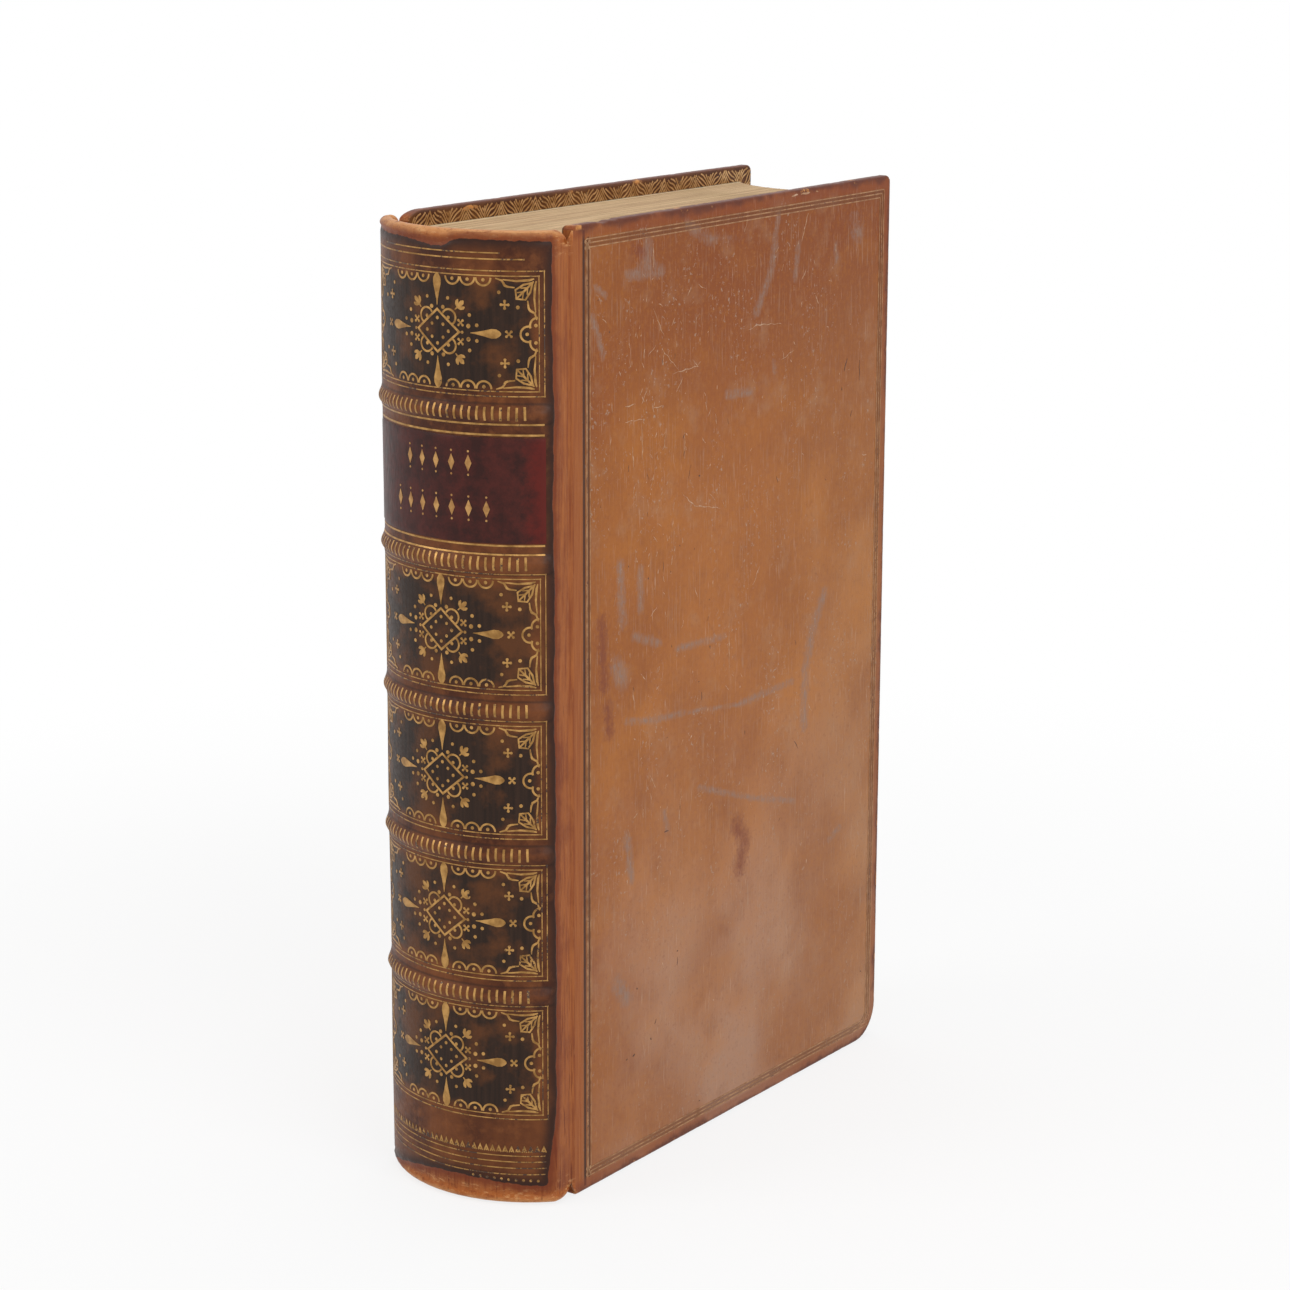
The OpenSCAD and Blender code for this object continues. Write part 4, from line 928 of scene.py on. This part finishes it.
tool_box = bpy.data.collections.new("tools")
for number, key in enumerate(ORDER):         # numbered, because a collection gives its objects in the order of names
    verts, polys = join(TOOLS[key])
    mesh = bpy.data.meshes.new("tool_%02d" % number)
    mesh.from_pydata([tuple(v) for v in verts], [], polys)
    tool_box.objects.link(bpy.data.objects.new("tool_%02d" % number, mesh))


def stamping_tree():
    """Geometry Nodes: strikes the chosen tool at every point, turned and sized as the point says."""
    tree = bpy.data.node_groups.new("tool_stamping", "GeometryNodeTree")
    for name, way, kind in (("Strikes", "INPUT", "Geometry"), ("Tool size", "INPUT", "Float"),
                            ("Gold", "INPUT", "Material"), ("Gilding", "OUTPUT", "Geometry")):
        tree.interface.new_socket(name, in_out=way, socket_type="NodeSocket" + kind)
    strikes, tool_size, gold = list(tree.nodes.new("NodeGroupInput").outputs)[:3]
    put = partial(add, tree)
    tools = put("GeometryNodeCollectionInfo", tool_box, True, True)
    tool, turn, size = (put("GeometryNodeInputNamedAttribute", name, data_type=kind)
                        for name, kind in (("tool", "INT"), ("turn", "FLOAT"), ("size", "FLOAT")))
    size = put(TIMES, size, tool_size)
    struck = put("GeometryNodeInstanceOnPoints", strikes, None, tools, True, tool, put(JOIN, None, None, turn),
                 put(JOIN, size, size, 1.0))
    gilt = put("GeometryNodeSetMaterial", put("GeometryNodeRealizeInstances", struck), None, gold)
    tree.links.new(gilt, tree.nodes.new("NodeGroupOutput").inputs[0])
    return tree


STAMPING = stamping_tree()
SOCKETS = {item.name: item.identifier for item in STAMPING.interface.items_tree if item.in_out == "INPUT"}


def gild(name, strikes, lines, place, gold, body, node):
    """Strikes tools and runs lines on the flat, then lays them on the leather with place(a, b, lift).
    A strike is (tool, a, b, turn in degrees, size, rub); a line is (points, width, rub)."""
    flat = bpy.data.meshes.new(name + "_strikes")
    flat.from_pydata([(a, b, 0.0) for _, a, b, *_ in strikes], [], [])
    marks = [(ORDER.index(tool), math.radians(turn), size, rub) for tool, _, _, turn, size, rub in strikes]
    for key, kind, *values in zip(("tool", "turn", "size", "rub"), ("INT", "FLOAT", "FLOAT", "FLOAT"), *marks):
        flat.attributes.new(key, kind, "POINT").data.foreach_set("value", values)
    holder = bpy.data.objects.new(name + "_strikes", flat)
    bpy.context.scene.collection.objects.link(holder)
    stamp = holder.modifiers.new("tool_stamping", "NODES")
    stamp.node_group = STAMPING
    stamp[SOCKETS["Tool size"]] = 1.0
    stamp[SOCKETS["Gold"]] = gold
    graph = bpy.context.evaluated_depsgraph_get()
    mesh = bpy.data.meshes.new_from_object(holder.evaluated_get(graph), preserve_all_data_layers=True,
                                           depsgraph=graph)
    holder.modifiers.clear()
    bpy.data.objects.remove(holder)
    verts = np.zeros(len(mesh.vertices) * 3)
    rub = np.zeros(len(mesh.vertices), np.float32)
    mesh.vertices.foreach_get("co", verts)
    mesh.attributes["rub"].data.foreach_get("value", rub)
    made, rubs = [(verts.reshape(-1, 3), [tuple(p.vertices) for p in mesh.polygons])], [rub]
    for points, width, worn in lines:        # short lines are cut up, so that they follow the leather
        made.append(stroke(points, width, 1.1 if len(points) < 9 else 9.0))
        rubs.append(np.full(len(made[-1][0]), worn))
    verts, faces = join(made)
    result = piece(name, place(*verts.T), faces, [gold], body, smooth_over=30, marks={"rub": np.concatenate(rubs)})
    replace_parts(result, node)


def over_back(s, z, lift):
    return on_back(s, z, leather_lift(s, z) + lift)


def over_label(s, z, lift):
    return on_back(s, z, leather_lift(s, z) + 0.22 + lift)


def panel_strikes(z):
    """Every tool struck in one panel, centred at height z."""
    s0 = ORNAMENT_S
    out = [("lozenge", s0, z, 0, 1, 0.05)]
    for u in (-1, 1):
        out += [("dot", s0 + u * 3.2, z, 0, 0.9, 0.1), ("dot", s0, z + u * 3.1, 0, 0.9, 0.1),
                ("drop", s0 + u * 9.2, z, 90 - 90 * u, 1, 0.0), ("dot", s0 + u * 7.0, z, 0, 0.8, 0.3),
                ("drop", s0, z + u * 6.2, 90 * u, 1, 0.0), ("cross", s0 + u * 18.9, z, 45, 1, 0.0),
                ("cluster", u * (INNER_W - 0.3), z, 90 - 90 * u, 1, 0.1)]
        for v in (-1, 1):
            turn = math.degrees(math.atan2(v, u))
            out += [(tool, s0 + u * a, z + v * b, turned, size, rub) for tool, a, b, turned, size, rub in (
                ("dot", 1.65, 1.6, 0, 0.85, 0.1), ("dot", 1.7, 5.8, 0, 1.05, 0.1), ("dot", 3.1, 8.1, 0, 0.9, 0.1),
                ("dot", 8.7, 1.6, 0, 1.15, 0.1), ("dot", 10.9, 1.9, 0, 0.95, 0.1), ("dot", 9.0, 4.3, 0, 0.95, 0.1),
                ("sprig", 6.4, 6.6, turn, 1, 0.05), ("cross", 6.6, 2.3, 45, 0.95, 0.1),
                ("lobe", 3.3, 3.45, turn - 45, 1, 0.05), ("dot", 16.5, 10.1, 0, 0.9, 0.15),
                ("dot", 21.1, 6.5, 0, 0.95, 0.15), ("cross", 17.9, 7.1, 0, 1.05, 0.1))]
            out.append(("corner", u * (INNER_W - 0.35), z + v * (INNER_H - 0.35), turn - 45, 1, 0.2))
            out += [("scallop", s0 + u * (4.4 + 4.1 * k), z + v * (INNER_H - 0.5), 90 - 90 * v, 1, 0.1)
                    for k in range(3)]
    return out


def frame_lines(wide, high, z, rub):
    """Four lines of a frame, run one by one as a finisher does, so that they just cross at the corners."""
    lines = [([(u * wide, z - high - 0.2), (u * wide, z + high + 0.2)], 0.24, rub) for u in (-1, 1)]
    return lines + [([(-wide - 0.2, z + v * high), (wide + 0.2, z + v * high)], 0.27, rub) for v in (-1, 1)]


for number, z in PANELS.items():
    gild("gilding_panel_%d" % number, panel_strikes(z),
         frame_lines(PANEL_W, PANEL_H, z, 0.55) + frame_lines(INNER_W, INNER_H, z, 0.42),
         over_back, gold_on_back, "book_block", "panel_tooling_%d" % number)

ticks = [("tick", k * 1.95 - 1.5, b + 0.2 + 0.1 * math.sin(3 * k), 2 * math.sin(5 * k), 0.95,
          0.05 + 0.35 * abs(math.sin(1.3 * k + b)) ** 3) for b in BANDS for k in range(-13, 14)]
gild("gilding_bands", ticks, [], over_back, gold_on_back, "book_block", "band_tooling")

# lines across the back: (height, front end, back end, rub, width)
across_back = [(244.3, 18, -20, 0.5, 0.3), (242.8, 24, -29, 0.3, 0.34), (202.7, 28.6, -28.8, 0.0, 0.5),
               (200.1, 28.6, -28.8, 0.0, 0.5), (172.7, 28.6, -28.8, 0.0, 0.45), (170.5, 28.6, -28.8, 0.1, 0.4),
               (13.6, 28, -28.6, 0.55, 0.26), (12.0, 28.2, -28.6, 0.45, 0.28), (10.3, 28.3, -28.6, 0.5, 0.28),
               (8.6, 28, -24, 0.55, 0.26)]
marks_at_tail = [("bead", s, 7.9 - 0.04 * s, 0, 0.9, 0.5) for s in np.arange(9.0, 27.5, 1.9)]
gild("gilding_lines", marks_at_tail, [([(lo, z), (hi, z)], wide, rub) for z, hi, lo, rub, wide in across_back],
     over_back, gold_on_back, "book_block", "spine_fillets")
teeth = [("tooth", s, 14.6, 0, 0.8, 0.25 + 0.35 * abs(math.sin(s))) for s in np.arange(-27.2, 27.6, 1.66)]
gild("gilding_tail_teeth", teeth, [], over_back, gold_on_back, "book_block", "tail_border")

# the label, and its two short rows of lozenges
s = np.linspace(-29.0, 28.9, 79)
z = np.linspace(LABEL_Z - LABEL_H / 2, LABEL_Z + LABEL_H / 2, 45)
S, Z = np.meshgrid(s, z, indexing="ij")
rim = np.minimum(np.minimum(S - s[0], s[-1] - S), np.minimum(Z - z[0], z[-1] - Z))
top = on_back(S, Z, leather_lift(S, Z) + 0.06 + 0.16 * smooth(rim / 0.8 + 0.1))
base = on_back(S, Z, leather_lift(S, Z) - 0.05)
n = S.size
faces = quads(len(s), len(z)) + quads(len(s), len(z), n)
border = ([(i, 0) for i in range(len(s))] + [(len(s) - 1, j) for j in range(1, len(z))]
          + [(i, len(z) - 1) for i in range(len(s) - 2, -1, -1)] + [(0, j) for j in range(len(z) - 2, 0, -1)])
loop = [i * len(z) + j for i, j in border]
faces += [(p, q, n + q, n + p) for p, q in zip(loop, loop[1:] + loop[:1])]
label = piece("title_label_skiver", np.concatenate([top.reshape(-1, 3), base.reshape(-1, 3)]), faces, [skiver],
              "book_block")
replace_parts(label, "title_label")
rows = [("diamond", 0.4 + (k - (count - 1) / 2) * 4.6, height, 0, 1, 0.05)
        for height, count in ((LABEL_Z + 6.6, 5), (LABEL_Z - 4.6, 7)) for k in range(count)]
gild("gilding_label", rows, [], over_label, gold_on_label, "book_block", "label_tooling")


def depth_in(side, y, z):
    """Distance in from the nearest of head, tail and fore-edge, round the corners as well."""
    fore, head, tail = DEPTH - y, HEIGHT - z, z
    nearest = np.minimum(fore, np.minimum(head, tail))
    for r, end in ((HEAD_CORNER, head), (TAIL_CORNER[side], tail)):
        rounded = r - np.hypot(np.clip(r - fore, 0, None), np.clip(r - end, 0, None))
        nearest = np.where(np.minimum(fore, end) < r, np.minimum(nearest, rounded), nearest)
    return nearest


def chevron_roll(side):
    """The roll on the turned-in leather: nested ogees that rise to pointed arches 14.2 mm apart and fall
    to a V between them; the runs meet in mitres at the corners."""
    runs = []
    for edge in ("head", "tail", "fore"):
        way = np.arange(1.5, DEPTH if edge != "fore" else HEIGHT, 0.5916)
        wave = 1 - np.abs((way / 14.2 + 0.36) % 1 * 2 - 1)
        for start in np.arange(-8.4, 12.0, 1.3):
            deep = start + 8.2 * wave + 0.8 * np.sin(2 * math.pi * wave) + 0.12 * np.sin(1.9 * way + start)
            y, z = {"head": (way, HEIGHT - deep), "tail": (way, deep), "fore": (DEPTH - deep, way)}[edge]
            far_in = {"head": HEIGHT - z, "tail": z, "fore": DEPTH - y}
            own = far_in.pop(edge)
            nearest = depth_in(side, y, z)
            kept = (nearest > 0.6 + 3.0 * np.exp(-y / 2.5)) & (deep < TURN_IN - 0.5) & (own <= nearest + 2.5)
            kept &= (y > 1.8) & (np.min(list(far_in.values()), axis=0) > own)
            edges_of = np.flatnonzero(np.diff(np.concatenate([[0], kept.astype(int), [0]])))
            for a, b in zip(edges_of[::2], edges_of[1::2]):
                if b - a > 2:
                    runs.append((np.column_stack([y[a:b], z[a:b]]), 0.42, 0.05 + 0.25 * abs(math.sin(a + start))))
    return runs


def scratches(side, name, marks, material):
    """Marks cut into a cover by hard things: thin strips with frayed widths, turned round on the back one."""
    strips = []
    for number, (width, points) in enumerate(marks):
        points = np.array(points, float)
        way = np.concatenate([[0], np.cumsum(np.hypot(*np.diff(points, axis=0).T))])
        at = np.linspace(0, way[-1], max(4, int(way[-1] / 0.6)))
        line = np.column_stack([np.interp(at, way, points[:, 0]), np.interp(at, way, points[:, 1])])
        line += 0.12 * np.column_stack([np.sin(2.1 * at + number), np.sin(1.7 * at + 2 * number)])
        frayed = width * (0.35 + 0.65 * np.sin(math.pi * (at + 0.1) / (way[-1] + 0.2)))
        frayed = frayed * (0.75 + 0.25 * np.sin(4.3 * at + number) + 0.2 * np.sin(9.1 * at))
        if side < 0:
            line = np.array([DEPTH + 1.5, HEIGHT]) - line
        strips.append(stroke(line, frayed))
    verts, faces = join(strips)
    made = piece(name, on_cover(side, verts[:, 0], verts[:, 1], -verts[:, 2] * 0.5), faces, [material],
                 SIDE_NAME[side] + "_cover", smooth_over=30)


def scattered(seed, places):
    """Short fine scratches round the places that were rubbed most: (y, z, spread in y and z, how many)."""
    chance = np.random.default_rng(seed)
    marks = []
    for y, z, wide, high, count in places:
        for _ in range(count):
            middle = np.array([y, z]) + chance.normal(size=2) * (wide, high)
            turn = chance.normal(math.pi / 2, 0.55)
            half = (0.12 + chance.gamma(1.5, 0.35)) * np.array([math.cos(turn), math.sin(turn)])
            if 11 < middle[0] < 140 and 9 < middle[1] < 241:
                marks.append((chance.uniform(0.14, 0.32), [middle - half, middle + half]))
    return marks


SCRATCHES += scattered(11, [(31, 205, 7, 22, 60), (58, 205, 14, 22, 45), (112, 215, 15, 18, 40), (36, 158, 9, 22, 55),
                            (44, 98, 16, 18, 40), (90, 145, 28, 50, 35), (95, 60, 30, 30, 20)])
SCRATCHES += [(0.5, [(99.5, 248.7), (102.5, 248.8)]), (0.55, [(104, 248.75), (108.5, 248.9)]),
              (0.5, [(111.4, 248.8), (112.6, 248.8)])]
NICKS += scattered(12, [(70, 130, 36, 60, 26), (36, 170, 10, 40, 14)])
scraped = plain_material("scraped_calf", "#A67A58", "#C8A78C", 1.2, 0.75, 0.1)
dented = plain_material("dented_calf", "#4A2D22", "#6A4431", 0.8, 0.6, 0.1)
for side in (1, -1):
    scratches(side, SIDE_NAME[side] + "_cover_scratches", SCRATCHES, scraped)
    scratches(side, SIDE_NAME[side] + "_cover_nicks", NICKS, dented)

# fillets on the covers and the roll on their turn-ins
for side in (1, -1):
    name = SIDE_NAME[side]
    lines = []
    for low, near, rub in ((3.6, 6.45, 0.15), (4.6, 6.9, 0.3), (5.7, 8.05, 0.0)):
        corners = [(near, low), (DEPTH - low, low), (DEPTH - low, HEIGHT - low), (near, HEIGHT - low), (near, low)]
        lines += [(np.array(pair), 0.27, rub) for pair in zip(corners[:-1], corners[1:])]
    strikes = [("rosette", 7.0, h, 0, 1.15, -0.1) for h in (5.0, HEIGHT - 5.0)]
    gild(name + "_gilt_fillets", strikes, lines, lambda a, b, lift: on_cover(side, a, b, -lift),
         gold_on_covers, name + "_cover", name + "_fillets")
    gild(name + "_turn_in_gilding", [("dot", DEPTH - 14.0, HEIGHT - 13.5, 0, 0.2, 0.0)], chevron_roll(side),
         lambda a, b, lift: on_cover(side, a, b, COVER + lift),
         gold_on_turn_ins, name + "_cover", name + "_turn_in_roll")

for spent in list(tool_box.objects):
    bpy.data.objects.remove(spent)
bpy.data.collections.remove(tool_box)

# ---------------------------------------------------------------- inner joints and the hidden pieces
for side in (1, -1):
    near, wide = 0.25, 1.2                   # where the strip starts, out from the hinge line, and its width
    z = np.linspace(BLOCK_LO + 0.3, BLOCK_HI - 0.3, 40)
    front, rear = ([on_cover(side, near + wide * u, z, deep - 0.1 * u) for u in np.linspace(0, 1, 13)]
                   for deep in (3.44, 3.56))
    ends = (on_cover(side, y, HEIGHT / 2, 3.4) for y in (near, near + wide))
    sleeve(front + rear[::-1], "_inner_joint_paper", marbled, side, ends, bent=1.0)

PLAIN = {key: marbled for key in ("front_flyleaf", "back_flyleaf", "front_pastedown", "back_pastedown")}
PLAIN.update({"spine_lining": lining, **{"raised_band_%d" % k: hemp for k in range(1, 6)}})
for key, material in PLAIN.items():
    mesh = frame["nodes"][key].data
    mesh.materials.clear()
    mesh.materials.append(material)

# ---------------------------------------------------------------- studio
def camera_back(azimuth, elevation, roll):
    """Axes of a camera that looks at the book from that side: right, up and back."""
    a, e, r = (math.radians(v) for v in (azimuth, elevation, roll))
    back = Vector((math.sin(a) * math.cos(e), -math.cos(a) * math.cos(e), math.sin(e)))
    right = Vector((math.cos(a), math.sin(a), 0))
    up = back.cross(right)
    return (right * math.cos(r) + up * math.sin(r), up * math.cos(r) - right * math.sin(r), back)


lens = bpy.data.cameras.new("camera")
lens.sensor_width, lens.lens = 36.0, 3400.0 * 36.0 / 1290.0        # 3400 px for a photo 1290 px wide
lens.clip_start, lens.clip_end = 0.05, 20.0
camera = bpy.data.objects.new("camera", lens)
bpy.context.scene.collection.objects.link(camera)
axes = camera_back(36.44, 13.68, 0.15)
camera.matrix_world = Matrix.Translation(Vector((0.52801, -0.71246, 0.34565))) @ Matrix(axes).transposed().to_4x4()
bpy.context.scene.camera = camera

floor_mesh = bpy.data.meshes.new("floor")
floor_mesh.from_pydata([(-4, -4, 0), (4, -4, 0), (4, 4, 0), (-4, 4, 0)], [], [(0, 1, 2, 3)])
floor = bpy.data.objects.new("floor", floor_mesh)
floor.location.z = -0.0001
bpy.context.scene.collection.objects.link(floor)
WHITE = (1, 1, 1, 1)


def studio_nodes(owner):
    """Empties a floor's or world's tree. Gives add() for it, and 1 for the rays that should meet plain white:
    those from the camera, and those that gloss or glass sends on."""
    owner.use_nodes = True
    owner.node_tree.nodes.clear()
    put = partial(add, owner.node_tree)
    rays = put("ShaderNodeLightPath").node.outputs
    seen = put(LARGER, rays["Is Camera Ray"], rays["Is Glossy Ray"])
    return put, put(LARGER, seen, rays["Is Transmission Ray"])


pale = bpy.data.materials.new("pale_floor")
put, seen = studio_nodes(pale)
share = put(SOFT_MAP, put(LENGTH, put(PLACE, out=3)), 0.16, 0.5, 0.8, 1.0)       # whiter away from the book
mixed = put("ShaderNodeMixShader", put(TIMES, seen, share), put("ShaderNodeBsdfDiffuse", (0.92, 0.92, 0.92, 1)),
            put("ShaderNodeEmission", WHITE, 1.0))
pale.node_tree.links.new(mixed, pale.node_tree.nodes.new("ShaderNodeOutputMaterial").inputs[0])
floor_mesh.materials.append(pale)

world = bpy.data.worlds.new("studio")
bpy.context.scene.world = world
put, seen = studio_nodes(world)
sky = put("ShaderNodeBackground", WHITE, put(MAP, seen, None, None, 0.42, 1.0))
world.node_tree.links.new(sky, world.node_tree.nodes.new("ShaderNodeOutputWorld").inputs[0])

# soft boxes: (name, place in metres, size, power in watts)
for name, place, size, power in (("key_box", (1.3, -0.5, 0.9), 1.0, 10.5), ("left_box", (-0.9, -1.3, 0.9), 0.9, 6.5),
                                 ("top_box", (-0.1, 0.2, 1.6), 1.1, 7.5)):
    lamp = bpy.data.lights.new(name, "AREA")
    lamp.size, lamp.energy = size, power
    box = bpy.data.objects.new(name, lamp)
    box.location = place
    box.rotation_euler = (Vector((0, 0, 0.12)) - Vector(place)).to_track_quat("-Z", "Y").to_euler()
    bpy.context.scene.collection.objects.link(box)

bpy.context.scene.view_settings.view_transform = "Standard"
